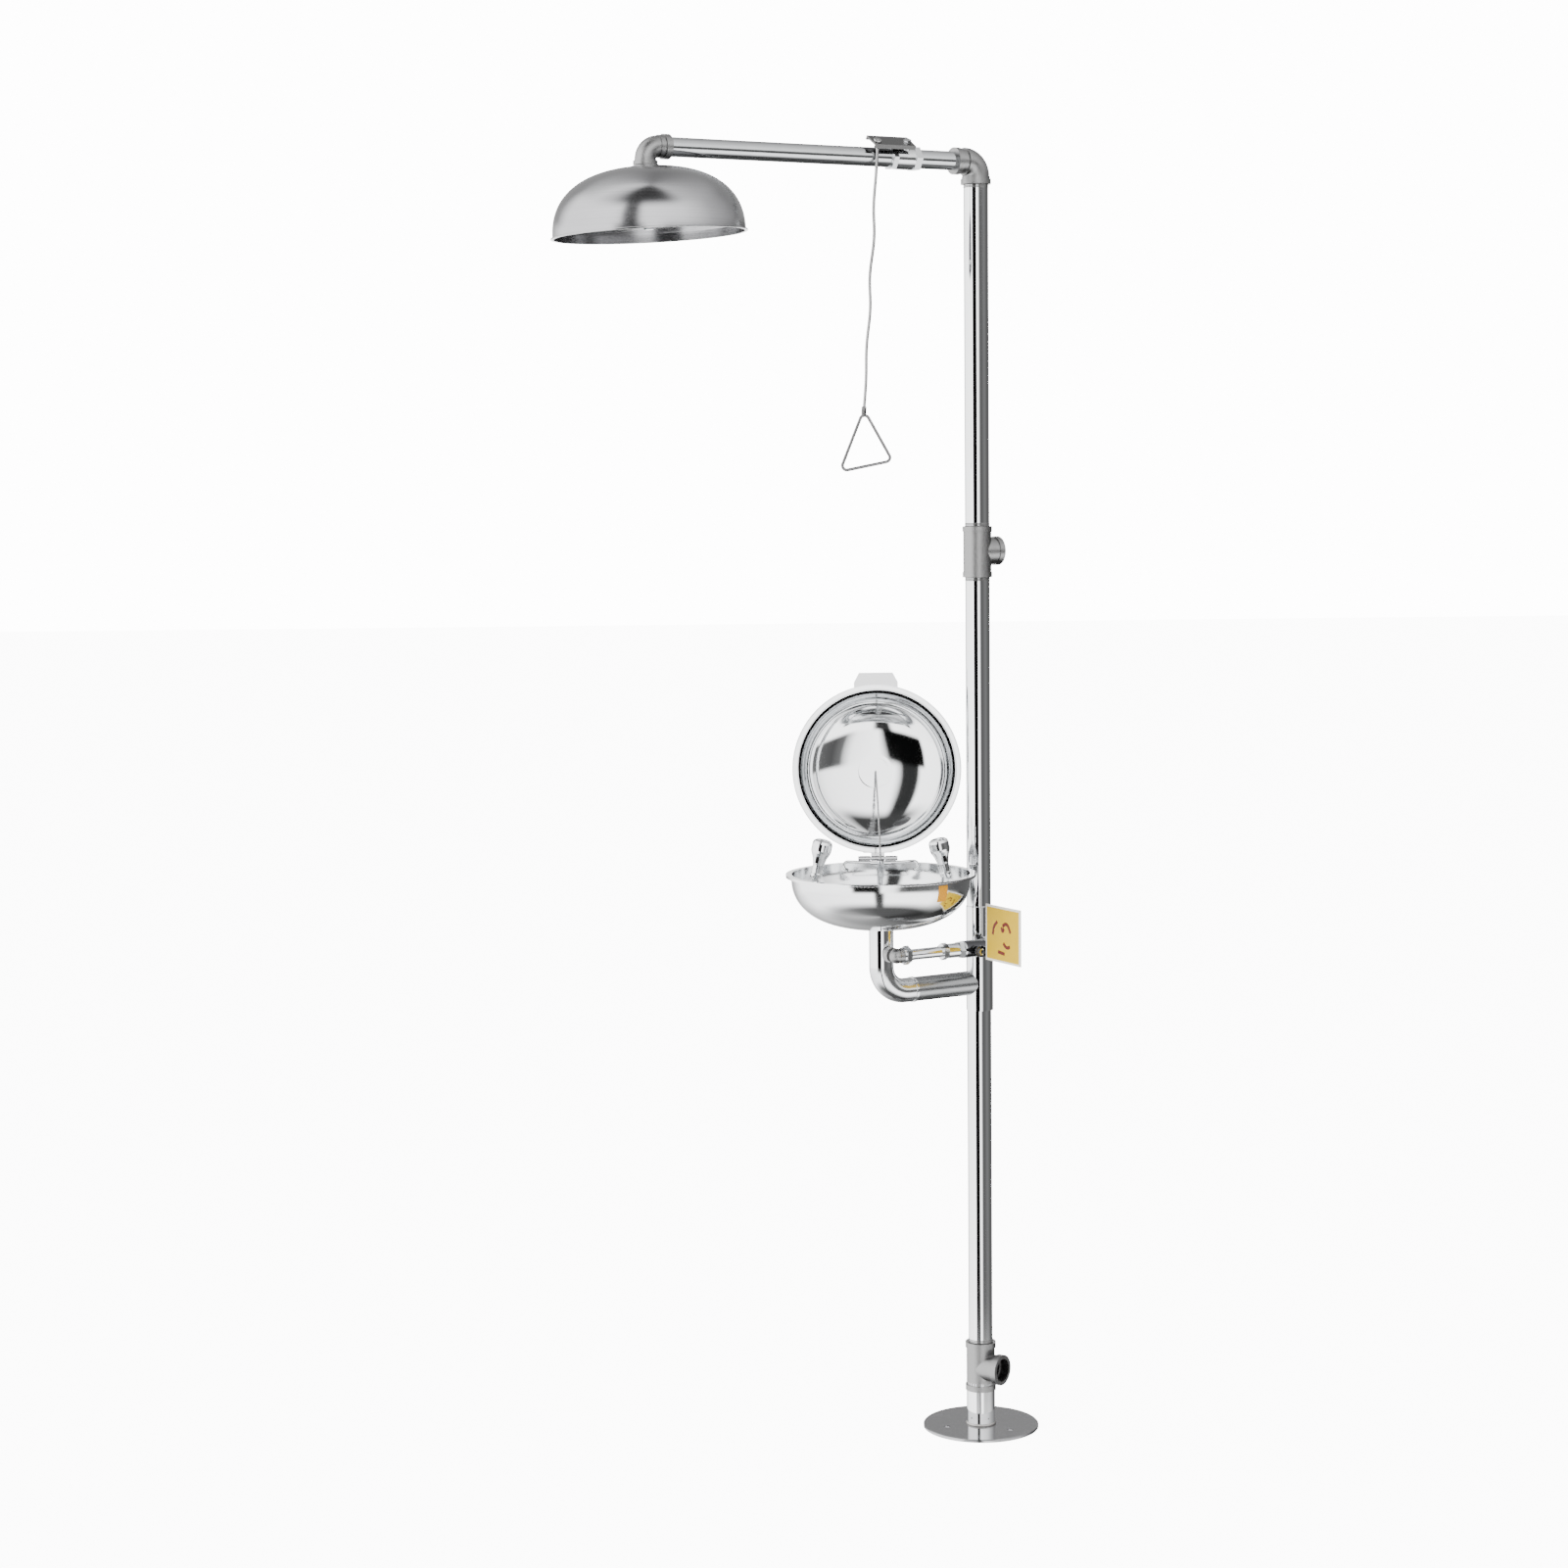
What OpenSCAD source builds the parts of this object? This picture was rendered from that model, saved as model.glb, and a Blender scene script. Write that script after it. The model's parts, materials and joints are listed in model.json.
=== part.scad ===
// Emergency shower with eyewash: a free-standing stainless pole on a round foot, a shower head on an arm
// with a pull rod, and an eyewash bowl with a hinged lid and a push plate.
// Origin: centre of the foot's underside. +Z up, the bowl faces -Y. All sizes in mm.

/* [Stand] */
// outside diameter of the pole pipes
pole_d = 42.4; // [33.7:0.1:60.3]
// wall of the pole pipes
pole_wall = 2; // [1.5:0.1:4]
// diameter of the round foot
base_d = 205; // [160:5:300]
// thickness of the round foot
base_t = 5; // [3:0.5:12]
// diameter of the circle the floor bolts stand on
base_pcd = 130; // [100:5:250]
// diameter of the floor bolt holes
base_hole_d = 11; // [8:0.5:18]
// height of the shower arm's axis
arm_z = 2224; // [2100:1:2400]
// height of the supply inlet's axis
inlet_z = 1558; // [1200:1:1700]
// height of the waste outlet's axis
outlet_z = 108; // [90:1:200]
// turn of both arms out of the bowl's side-on line
arm_turn = 30; // [0:1:90]
// direction of the waste outlet
outlet_turn = -36; // [-90:1:90]

/* [Shower] */
// outside diameter of the shower arm pipe
arm_d = 31.8; // [26.9:0.1:42.4]
// distance from the pole to the shower head's axis
head_reach = 639; // [500:1:800]
// diameter of the shower head inside its lip
head_d = 314; // [200:1:400]
// height of the shower head's dome
head_h = 110; // [60:1:150]
// height of the shower head's rim
head_z = 2081; // [1950:1:2200]
// lean of the shower head towards its far side
head_lean = 2.5; // [0:0.5:3]
// distance from the pole to the shower valve
shower_valve_s = 148; // [100:1:200]
// tilt of the shower valve's stem towards the user
lever_tilt = 31; // [0:1:60]
// length of the lever
lever_l = 80; // [60:1:140]
// width of the lever
lever_w = 34; // [16:1:50]
// height of the top of the pull handle's triangle
apex_z = 1798; // [1600:1:1850]
// diameter of the pull rod
rod_d = 5.5; // [4:0.5:10]

/* [Eyewash] */
// distance from the pole to the bowl's axis
bowl_reach = 202; // [190:1:320]
// diameter of the bowl inside its flange
bowl_d = 310; // [240:1:360]
// depth of the bowl
bowl_h = 96; // [60:1:140]
// height of the bowl's rim
bowl_z = 1009; // [800:1:1100]
// height of the drain arm's axis
drain_z = 801; // [600:1:900]
// height of the feed line's axis
feed_z = 871; // [700:1:900]
// distance of the feed line in front of the pole's axis
feed_t = 50; // [40:1:80]
// diameter of the feed pipe
feed_d = 19; // [13.5:0.1:26.9]

/* [Lid] */
// diameter of the lid
lid_d = 300; // [240:1:340]
// depth of the lid
lid_h = 88; // [60:1:110]
// swing of the lid from closed to its rest position
lid_open = 98; // [80:1:120]

/* [Push plate] */
// width of the push plate
flag_w = 104; // [60:1:160]
// height of the push plate
flag_h = 97; // [60:1:160]

/* [Hidden] */
$fn = 96;
pr = pole_d / 2;
pb = pr - pole_wall;
ar = arm_d / 2;
ab = ar - 1.6;
seat = 15;
rr = rod_d / 2;
fr = feed_d / 2;
out_z0 = outlet_z - 41;
out_z1 = outlet_z + 46;
man_z0 = drain_z - 48;
man_z1 = feed_z + 66;
man_r = pr + 1.4;
in_z0 = inlet_z - 45;
in_z1 = inlet_z + 43;
elbow_z0 = arm_z - 38;
bowl_x = -bowl_reach * cos(arm_turn);
bowl_y = -bowl_reach * sin(arm_turn);
hinge_y = 159;
hinge_z = bowl_z + 6;
rivet_y = bowl_d / 2 + 1.6;
rivet_r = 1.6;
bend_r = 45;
valve_ball = 15;
eye_ball = 11;
eye_valve_s = 54;
lever_z = 28;
lever_in = 8;
strip_x = 7;
hook_x = lever_in - lever_l + 10;
hook_y = -4;
hook_hole = 7.6;

function dome_pt(r, h, n, a) = [r * pow(cos(a), 2 / n), h * pow(sin(a), 2 / n)];
function dome(r, h, n, steps = 20) = [for (i = [0:steps]) dome_pt(r, h, n, 90 * i / steps)];
function back(list) = [for (i = [len(list) - 1:-1:0]) list[i]];

module at_arm() rotate([0, 0, arm_turn]) children();
module at_bowl() translate([bowl_x, bowl_y, 0]) children();
module at_shower_valve() at_arm() translate([-shower_valve_s, 0, arm_z]) rotate([lever_tilt, 0, 0]) children();
module at_eye_valve() at_arm() translate([-eye_valve_s, -feed_t, feed_z]) rotate([90, 0, 0]) children();
module at_lid() at_bowl() translate([0, hinge_y, hinge_z]) rotate([-lid_open, 0, 0])
    translate([0, -hinge_y, -hinge_z]) children();
module up_tube(z0, z1, ro, ri) difference() {
    translate([0, 0, z0]) cylinder(h = z1 - z0, r = ro);
    translate([0, 0, z0 - 1]) cylinder(h = z1 - z0 + 2, r = ri);
}
module rod_x(x0, x1, r) translate([x0, 0, 0]) rotate([0, 90, 0]) cylinder(h = x1 - x0, r = r);
module hex_x(x0, x1, af) translate([x0, 0, 0]) rotate([0, 90, 0])
    cylinder(h = x1 - x0, r = af / sqrt(3), $fn = 6);
module link(p, q, r) {
    d = q - p;
    l = norm(d);
    translate(p) rotate([0, acos(d[2] / l), atan2(d[1], d[0])]) cylinder(h = l, r = r, $fn = 32);
}
module wire(pts, r) {
    for (i = [0:len(pts) - 2]) link(pts[i], pts[i + 1], r);
    for (i = [1:len(pts) - 2]) translate(pts[i]) sphere(r = 1.03 * r, $fn = 32);
}
// quarter bend of a tube, from +X round to +Z about the origin
module quarter(bend, ro, ri) rotate([90, 0, 0]) rotate_extrude(angle = 90) translate([bend, 0]) difference() {
    circle(r = ro);
    circle(r = ri);
}
module tube_x(x0, x1, ro, ri) difference() {
    rod_x(x0, x1, ro);
    rod_x(x0 - 1, x1 + 1, ri);
}
// ---- stand ----
module base_plate() color([0.52, 0.53, 0.54]) difference() {
    union() {
        cylinder(h = base_t - 1, r = base_d / 2);
        translate([0, 0, base_t - 1]) cylinder(h = 1, r1 = base_d / 2, r2 = base_d / 2 - 1);
    }
    for (a = [199, 319, 79]) rotate([0, 0, a]) translate([base_pcd / 2, 0, -1])
        cylinder(h = base_t + 2, r = base_hole_d / 2);
}
module base_stub() color([0.62, 0.63, 0.64]) difference() {
    union() {
        translate([0, 0, base_t]) cylinder(h = out_z0 + seat - base_t, r = pr);
        translate([0, 0, base_t]) cylinder(h = 4, r1 = pr + 4, r2 = pr);
    }
    translate([0, 0, base_t - 1]) cylinder(h = out_z0 + seat, r = pb);
}
module outlet_tee() color([0.60, 0.61, 0.62]) difference() {
    union() {
        translate([0, 0, out_z0]) cylinder(h = out_z1 - out_z0, r = 25.2);
        translate([0, 0, out_z0]) cylinder(h = 10, r = 27);
        translate([0, 0, out_z1 - 10]) cylinder(h = 10, r = 27);
        rotate([0, 0, outlet_turn]) translate([0, 0, outlet_z]) {
            rod_x(0, 46, 24.6);
            rod_x(35, 46, 27);
        }
    }
    translate([0, 0, out_z0 - 1]) cylinder(h = seat + 1, r = pr);
    translate([0, 0, out_z0]) cylinder(h = out_z1 - out_z0, r = pb);
    translate([0, 0, out_z1 - seat]) cylinder(h = seat + 1, r = pr);
    rotate([0, 0, outlet_turn]) translate([0, 0, outlet_z]) {
        rod_x(0, 46, 18);
        rod_x(28, 47, 20);
    }
}
module lower_pipe() color([0.78, 0.79, 0.80]) up_tube(out_z1 - seat, man_z0 + seat, pr, pb);
module manifold() color([0.76, 0.77, 0.78]) difference() {
    union() {
        translate([0, 0, man_z0]) cylinder(h = man_z1 - man_z0, r = man_r);
        at_arm() translate([0, 0, feed_z]) rotate([90, 0, 0]) cylinder(h = man_r + 3, r = fr + 4);
    }
    translate([0, 0, man_z0 - 1]) cylinder(h = seat + 1, r = pr);
    translate([0, 0, man_z0]) cylinder(h = man_z1 - man_z0, r = pb);
    translate([0, 0, man_z1 - seat]) cylinder(h = seat + 1, r = pr);
    at_arm() translate([0, 0, drain_z]) rotate([0, -90, 0]) cylinder(h = man_r + 4, r = pb);
    at_arm() translate([0, 0, feed_z]) rotate([90, 0, 0]) cylinder(h = man_r + 8, r = fr);
}
module manifold_divider() color([0.7, 0.7, 0.7]) translate([0, 0, drain_z + 34]) cylinder(h = 3, r = pb);
module middle_pipe() color([0.78, 0.79, 0.80]) up_tube(man_z1 - seat, in_z0 + seat, pr, pb);
module inlet_tee() color([0.60, 0.61, 0.62]) difference() {
    union() {
        translate([0, 0, in_z0]) cylinder(h = in_z1 - in_z0, r = 24.4);
        translate([0, 0, in_z0]) cylinder(h = 9, r = 25.6);
        translate([0, 0, in_z1 - 9]) cylinder(h = 9, r = 25.6);
        at_arm() translate([0, 0, inlet_z]) {
            rod_x(0, 43, 23.4);
            rod_x(33, 43, 25);
        }
    }
    translate([0, 0, in_z0 - 1]) cylinder(h = seat + 1, r = pr);
    translate([0, 0, in_z0]) cylinder(h = in_z1 - in_z0, r = pb);
    translate([0, 0, in_z1 - seat]) cylinder(h = seat + 1, r = pr);
    at_arm() translate([0, 0, inlet_z]) {
        rod_x(0, 43, 17);
        rod_x(27, 44, 19);
    }
}
module upper_pipe() color([0.78, 0.79, 0.80]) up_tube(in_z1 - seat, arm_z - 25, pr, pb);
module top_elbow() color([0.55, 0.56, 0.57]) at_arm() {
    up_tube(elbow_z0, elbow_z0 + 9, 26, pr);
    up_tube(elbow_z0 + 9, arm_z - 25, 24.2, pr);
    translate([-25, 0, arm_z - 25]) quarter(25, 23.4, 14);
    translate([0, 0, arm_z]) tube_x(-36, -25, 21, 14);
    translate([0, 0, arm_z]) tube_x(-46, -36, 23, ar);
}
// ---- ball valves, in their own frame: pipe along X, stem along +Z ----
// body from the ball to the inlet at x1, with a stem neck up to z1
module valve_body(ball, x1, af, pipe_r, stem_r, z1) difference() {
    union() {
        rod_x(-ball - 1, x1, ball + 4);
        hex_x(x1 - 12, x1, af);
        cylinder(h = z1, r = stem_r + 4);
    }
    rod_x(-ball - 2, ball + 1, ball + 0.5);
    rod_x(0, x1 + 1, ball * 0.62);
    rod_x(x1 - 10, x1 + 1, pipe_r);
    cylinder(h = z1 + 1, r = stem_r + 0.05);
}
module valve_end(ball, x0, af, pipe_r) difference() {
    union() {
        hex_x(x0, -ball - 1 - 3, af);
        rod_x(-ball - 4, -ball - 1, ball + 4);
        rod_x(x0 - 2, x0, af / 2 - 1);
    }
    rod_x(x0 - 3, -ball, ball * 0.62);
    rod_x(x0 - 3, x0 + 8, pipe_r);
}
module valve_seats(ball) {
    wr = ball * 0.62;
    k = (ball + 0.3) * sqrt(2);
    for (turn = [90, -90]) rotate([0, turn, 0]) rotate_extrude()
        polygon([[wr, k - wr], [wr, ball + 1], [ball + 0.5, ball + 1], [ball + 0.5, k - ball - 0.5]]);
}
module valve_ball(ball, stem_r) difference() {
    sphere(r = ball);
    rotate([90, 0, 0]) cylinder(h = 3 * ball, r = ball * 0.62, center = true);
    translate([-stem_r, -1.5, ball - 4]) cube([2 * stem_r, 3, 5]);
}
module valve_stem(ball, stem_r, z1) {
    translate([-stem_r + 0.5, -1.5, ball - 4]) cube([2 * stem_r - 1, 3, 4.1]);
    translate([0, 0, ball]) cylinder(h = z1 - ball, r = stem_r);
}

// ---- shower ----
module valve_nipple() color([0.70, 0.71, 0.72]) at_arm() translate([0, 0, arm_z])
    difference() {
        rod_x(-shower_valve_s + 18, -36, ar);
        rod_x(-shower_valve_s, -30, ab);
    }
module shower_valve_body() color([0.66, 0.67, 0.68]) at_shower_valve()
    valve_body(valve_ball, 28, 38, ar, 4, 26);
module shower_valve_end() color([0.66, 0.67, 0.68]) at_shower_valve() valve_end(valve_ball, -28, 37, ar);
module shower_valve_seats() color([0.93, 0.93, 0.92]) at_shower_valve() valve_seats(valve_ball);
module shower_ball() color([0.8, 0.8, 0.8]) at_shower_valve() valve_ball(valve_ball, 4);
module shower_stem() color([0.7, 0.7, 0.7]) at_shower_valve() valve_stem(valve_ball, 4, lever_z + 6.4);
module lever_nut() color([0.62, 0.63, 0.64]) at_shower_valve() translate([0, 0, lever_z + 3]) difference() {
    union() {
        cylinder(h = 0.8, r = 7.6);
        cylinder(h = 3.6, r = 6.6, $fn = 6);
    }
    translate([0, 0, -1]) cylinder(h = 6, r = 4);
}
// a strip with its two long edges folded down
module shower_lever() color([0.60, 0.61, 0.62]) at_shower_valve() difference() {
    union() {
        translate([lever_in - lever_l, -lever_w / 2, lever_z]) cube([lever_l, lever_w, 3]);
        for (y = [-lever_w / 2, lever_w / 2 - 3]) translate([lever_in - lever_l, y, lever_z - 4])
            cube([lever_l, 3, 4]);
    }
    translate([0, 0, lever_z - 1]) cylinder(h = 5, r = 4);
    translate([hook_x, hook_y, lever_z - 1]) cylinder(h = 5, r = hook_hole);
}
module shower_arm() color([0.72, 0.73, 0.74]) at_arm() translate([0, 0, arm_z]) difference() {
    rod_x(-head_reach + 31, -shower_valve_s - 20, ar);
    rod_x(-head_reach, -shower_valve_s, ab);
}
module head_elbow() color([0.55, 0.56, 0.57]) at_arm() translate([-head_reach, 0, arm_z]) mirror([1, 0, 0]) {
    up_tube(-30, -24, 20, 12);
    up_tube(-24, -22, 18, 12);
    translate([-22, 0, -22]) quarter(22, 17.4, 12);
    tube_x(-31, -22, 18.6, 12);
    tube_x(-42, -31, 20.5, ar);
}
// the head, its spigot and its nut lean together about the elbow's mouth
module at_head() translate([-head_reach * cos(arm_turn), -head_reach * sin(arm_turn), arm_z - 27])
    rotate([0, -head_lean, 0]) translate([0, 0, 27 - arm_z]) children();
module head_spigot() color([0.6, 0.6, 0.6]) at_head() difference() {
    union() {
        translate([0, 0, head_z + head_h - 26]) cylinder(h = arm_z - 24 - (head_z + head_h - 26), r = 11.6);
        translate([0, 0, head_z + head_h - 12.5]) cylinder(h = 10, r = 19);
    }
    translate([0, 0, head_z + head_h - 22]) cylinder(h = 80, r = 9);
    translate([0, 0, head_z + head_h - 27]) cylinder(h = 8, r = 3);
    for (a = [0:60:300]) rotate([0, 0, a]) translate([6, 0, head_z + head_h - 19]) rotate([0, 90, 0])
        cylinder(h = 14, r = 2.4);
}
module head_nut() color([0.6, 0.61, 0.62]) at_head() difference() {
    translate([0, 0, head_z + head_h]) cylinder(h = arm_z - 31.2 - head_z - head_h, r = 22);
    translate([0, 0, head_z + head_h - 1]) cylinder(h = 20, r = 12);
}
module shower_head() color([0.66, 0.67, 0.68]) at_head() translate([0, 0, head_z]) difference() {
    rotate_extrude($fn = 144) polygon(concat([[head_d / 2 + 3, 0], [head_d / 2 + 3, 2], [head_d / 2, 2]],
        [for (p = dome(head_d / 2, head_h, 2.4)) if (p[1] > 3) p],
        back(dome(head_d / 2 - 2, head_h - 2, 2.4))));
    translate([0, 0, head_h - 20]) cylinder(h = 40, r = 12);
}
module spray_disc() color([0.72, 0.73, 0.74]) at_head() translate([0, 0, head_z + 14]) difference() {
    cylinder(h = 2, r = head_d / 2 - 4);
    translate([0, 0, -1]) cylinder(h = 4, r = 3);
    for (k = [1:4]) for (a = [0:30:330]) rotate([0, 0, a + 15 * k]) translate([34 * k, 0, -1])
        cylinder(h = 4, r = 2, $fn = 24);
}
module spray_disc_screw() color([0.6, 0.6, 0.6]) at_head() {
    translate([0, 0, head_z + 14]) cylinder(h = head_h - 35, r = 3);
    translate([0, 0, head_z + 9]) cylinder(h = 5, r = 8, $fn = 6);
    translate([0, 0, head_z + 16]) cylinder(h = 3, r = 6);
}

// pull rod, hung by a round button from a hole in the lever
function lever_pt(x, y, z) = [x - shower_valve_s, y * cos(lever_tilt) - z * sin(lever_tilt),
    arm_z + y * sin(lever_tilt) + z * cos(lever_tilt)];
function turned(p) = [p[0] * cos(arm_turn) - p[1] * sin(arm_turn),
    p[0] * sin(arm_turn) + p[1] * cos(arm_turn), p[2]];
eye = turned(lever_pt(hook_x, hook_y, lever_z + 5.6));
apex = [eye[0] - 27, eye[1], apex_z];
// corners of the pull handle's wire triangle, in its own plane, the rod's end at the origin
tri = [[0, -1, 0], [-40, -98, 0], [46, -81, 0]];
module pull_rod() color([0.62, 0.62, 0.62]) {
    link(eye, apex, rr);
    at_shower_valve() translate([hook_x, hook_y, lever_z]) rotate_extrude()
        polygon([[0, 1], [5.8, 1], [6.7, 2], [7.3, 3.2], [7.5, 4.4], [7.5, 6], [6.9, 6.6], [0, 6.6]]);
}
module pull_handle() color([0.30, 0.30, 0.30]) difference() {
    union() {
        translate(apex) rotate([90, 0, 0]) wire([tri[0], tri[1], tri[2], tri[0]], rr);
        link(apex + [0, 0, -6], apex + 9 * (eye - apex) / norm(eye - apex), 4.2);
    }
    link(eye, apex, rr);
}
// ---- eyewash: drain ----
module drain_arm() color([0.72, 0.73, 0.74]) at_arm() difference() {
    translate([0, 0, drain_z]) rod_x(-138, -10, pr);
    translate([0, 0, drain_z]) rod_x(-139, 0, pb);
    translate([0, 0, drain_z - 40]) cylinder(h = 80, r = man_r);
}
module drain_bend() color([0.68, 0.69, 0.70]) at_arm() translate([-bowl_reach + bend_r, 0, drain_z]) {
    translate([0, 0, bend_r]) rotate([0, 180, 0]) quarter(bend_r, pr, pb);
    tube_x(0, 15, pr, pb);
    tube_x(15, 19, pr + 1.2, pb);
}
module bowl_stem() color([0.76, 0.77, 0.78]) at_bowl() difference() {
    up_tube(drain_z + bend_r, bowl_z - bowl_h - 1, pr, pb);
    rotate([0, 0, arm_turn]) translate([0, 0, feed_z]) rotate([90, 0, 0]) cylinder(h = 40, r = fr);
}
module bowl() color([0.78, 0.79, 0.80]) at_bowl() translate([0, 0, bowl_z]) mirror([0, 0, 1]) difference() {
    rotate_extrude($fn = 144) polygon(concat(
        [[bowl_d / 2 + 9, 4.5], [bowl_d / 2 + 7.5, 4.5], [bowl_d / 2 + 7.5, 1.5], [bowl_d / 2, 1.5]],
        [for (p = dome(bowl_d / 2, bowl_h, 2.5)) if (p[1] > 1.5) p],
        back(dome(bowl_d / 2 - 1.5, bowl_h - 1.5, 2.5)), [[bowl_d / 2 + 9, 0]]));
    translate([0, 0, bowl_h - 12]) cylinder(h = 20, r = 17);
    for (x = [-27, 27]) translate([x, rivet_y, -1]) cylinder(h = 4, r = rivet_r);
}
module bowl_strainer() color([0.70, 0.71, 0.72]) at_bowl() difference() {
    union() {
        translate([0, 0, bowl_z - bowl_h + 2.1]) cylinder(h = 2, r = 26);
        translate([0, 0, bowl_z - bowl_h - 8]) cylinder(h = 10.1, r = 17);
    }
    translate([0, 0, bowl_z - bowl_h - 9]) cylinder(h = 10, r = 15);
    cylinder(h = bowl_z, r = 9);
    for (a = [0:45:315]) rotate([0, 0, a]) translate([12.2, 0, bowl_z - bowl_h])
        cylinder(h = 5, r = 2, $fn = 24);
}

// ---- eyewash: feed line, all on an axis along the arm, in front of the pole ----
module at_feed() at_arm() translate([0, -feed_t, feed_z]) children();
// elbow with a leg towards +Y and a leg towards -X
module feed_elbow(r, bore, leg) {
    translate([-14, 14, 0]) rotate([0, 0, -90]) rotate_extrude(angle = 90) translate([14, 0]) difference() {
        circle(r = r);
        circle(r = bore);
    }
    translate([0, 14, 0]) rotate([-90, 0, 0]) up_tube(0, leg - 14, r + 1.6, fr);
    tube_x(-leg, -14, r + 1.6, fr);
}
module feed_nipple() color([0.66, 0.67, 0.68]) at_feed() {
    translate([0, 14, 0]) rotate([-90, 0, 0]) up_tube(0, 17, fr, fr - 2);
    tube_x(-36, -14, fr, fr - 2);
}
module feed_elbow_pole() color([0.60, 0.61, 0.62]) at_feed() feed_elbow(11.4, 6.6, 23);
module eyewash_valve_body() color([0.34, 0.34, 0.35]) at_eye_valve() valve_body(eye_ball, 28, 27, fr, 3.5, 22);
module eyewash_valve_end() color([0.60, 0.61, 0.62]) at_eye_valve() valve_end(eye_ball, -24, 26, fr);
module eyewash_valve_seats() color([0.93, 0.93, 0.92]) at_eye_valve() valve_seats(eye_ball);
module eyewash_stem_ball() color([0.45, 0.45, 0.45]) at_eye_valve() difference() {
    union() {
        sphere(r = eye_ball);
        cylinder(h = 40, r = 3.5);
    }
    rotate([90, 0, 0]) cylinder(h = 3 * eye_ball, r = eye_ball * 0.62, center = true);
}
module feed_pipe() color([0.74, 0.75, 0.76]) at_feed() difference() {
    union() {
        rod_x(-bowl_reach + 10, -eye_valve_s - 18, fr);
        rod_x(-102, -eye_valve_s - 26, fr + 3.2);
        hex_x(-112, -102, 26);
    }
    rod_x(-bowl_reach, -eye_valve_s, fr - 2);
}
module feed_union_nut() color([0.62, 0.63, 0.64]) at_feed() difference() {
    union() {
        rod_x(-192.1, -178, 14);
        hex_x(-188, -179, 29);
    }
    rod_x(-200, -170, fr);
}
module feed_elbow_bowl() color([0.62, 0.63, 0.64]) at_feed() translate([-bowl_reach, 0, 0])
    mirror([1, 0, 0]) difference() {
        union() {
            translate([0, 0, 0]) sphere(r = 13);
            rod_x(-10, 0, 12.6);
            rotate([-90, 0, 0]) cylinder(h = 46, r = fr);
            translate([0, 12, 0]) rotate([-90, 0, 0]) cylinder(h = 13, r = 13);
        }
        rotate([-90, 0, 0]) cylinder(h = 60, r = 6);
        rod_x(-60, 0, fr - 2);
        rod_x(-60, -9.9, 20);
        translate([0, feed_t, -30]) cylinder(h = 60, r = 8.5);
    }
module riser() color([0.7, 0.7, 0.7]) at_bowl() difference() {
    up_tube(feed_z - 10, bowl_z - bowl_h + 16, 8.5, 6);
    rotate([0, 0, arm_turn]) translate([0, 0, feed_z]) rotate([90, 0, 0]) cylinder(h = 20, r = 4.5);
}

// ---- eyewash: outlets ----
noz_x = 112;
noz_lean = 12;
module at_nozzle(side) at_bowl() translate([side * noz_x, 0, bowl_z - 6]) rotate([0, -side * noz_lean, 0])
    children();
module yoke() color([0.68, 0.69, 0.70]) at_bowl() {
    z0 = bowl_z - bowl_h;
    difference() {
        union() {
            translate([0, 0, z0 + 8]) cylinder(h = 28, r = 12);
            rotate([0, 90, 0]) translate([-z0 - 24, 0, -20]) cylinder(h = 40, r = 11);
        }
        translate([0, 0, z0]) cylinder(h = 16, r = 8.5);
        translate([0, 0, z0 + 10]) cylinder(h = 14, r = 6);
        translate([0, 0, z0 + 30]) cylinder(h = 10, r = 4);
    }
    for (side = [-1, 1]) difference() {
        wire([[side * 20, 0, z0 + 24], [side * 62, 0, z0 + 26], [side * 84, 0, z0 + 34],
            [side * 100, 0, z0 + 50], [side * 109, 0, z0 + 70], [side * noz_x, 0, bowl_z - 6]], 7);
        translate([side * noz_x, 0, bowl_z - 6]) rotate([0, -side * noz_lean, 0]) cylinder(h = 10, r = 20);
    }
}
module nozzle() difference() {
    rotate_extrude() polygon([[0, 0], [10, 0], [10, 6], [9, 8], [9.5, 22], [12.5, 34], [16.5, 43], [17.5, 47],
        [17.5, 59], [16, 63], [12, 66], [8, 67], [0, 67.5]]);
    translate([0, 0, 3]) cylinder(h = 38, r = 5);
    translate([0, 0, 42]) cylinder(h = 15, r = 13);
    for (k = [0:5]) rotate([0, 0, 60 * k]) translate([8, 0, 50]) cylinder(h = 30, r = 2, $fn = 24);
    translate([0, 0, 40]) cylinder(h = 30, r = 2.5, $fn = 24);
}
module nozzle_left() color([0.80, 0.81, 0.82]) at_nozzle(-1) nozzle();
module nozzle_right() color([0.80, 0.81, 0.82]) at_nozzle(1) nozzle();
module nozzle_filters() color([0.8, 0.8, 0.76]) for (side = [-1, 1]) at_nozzle(side)
    translate([0, 0, 42.1]) cylinder(h = 5, r = 12.8);
module chain_post() color([0.4, 0.4, 0.4]) at_bowl() {
    translate([0, 0, bowl_z - bowl_h + 30]) cylinder(h = 6, r = 4);
    translate([0, 0, bowl_z - bowl_h + 36]) cylinder(h = bowl_h - 14, r = 6.5);
    translate([-18, 0, bowl_z + 17.5]) rotate([0, 90, 0]) cylinder(h = 36, r = 3);
}

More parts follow.
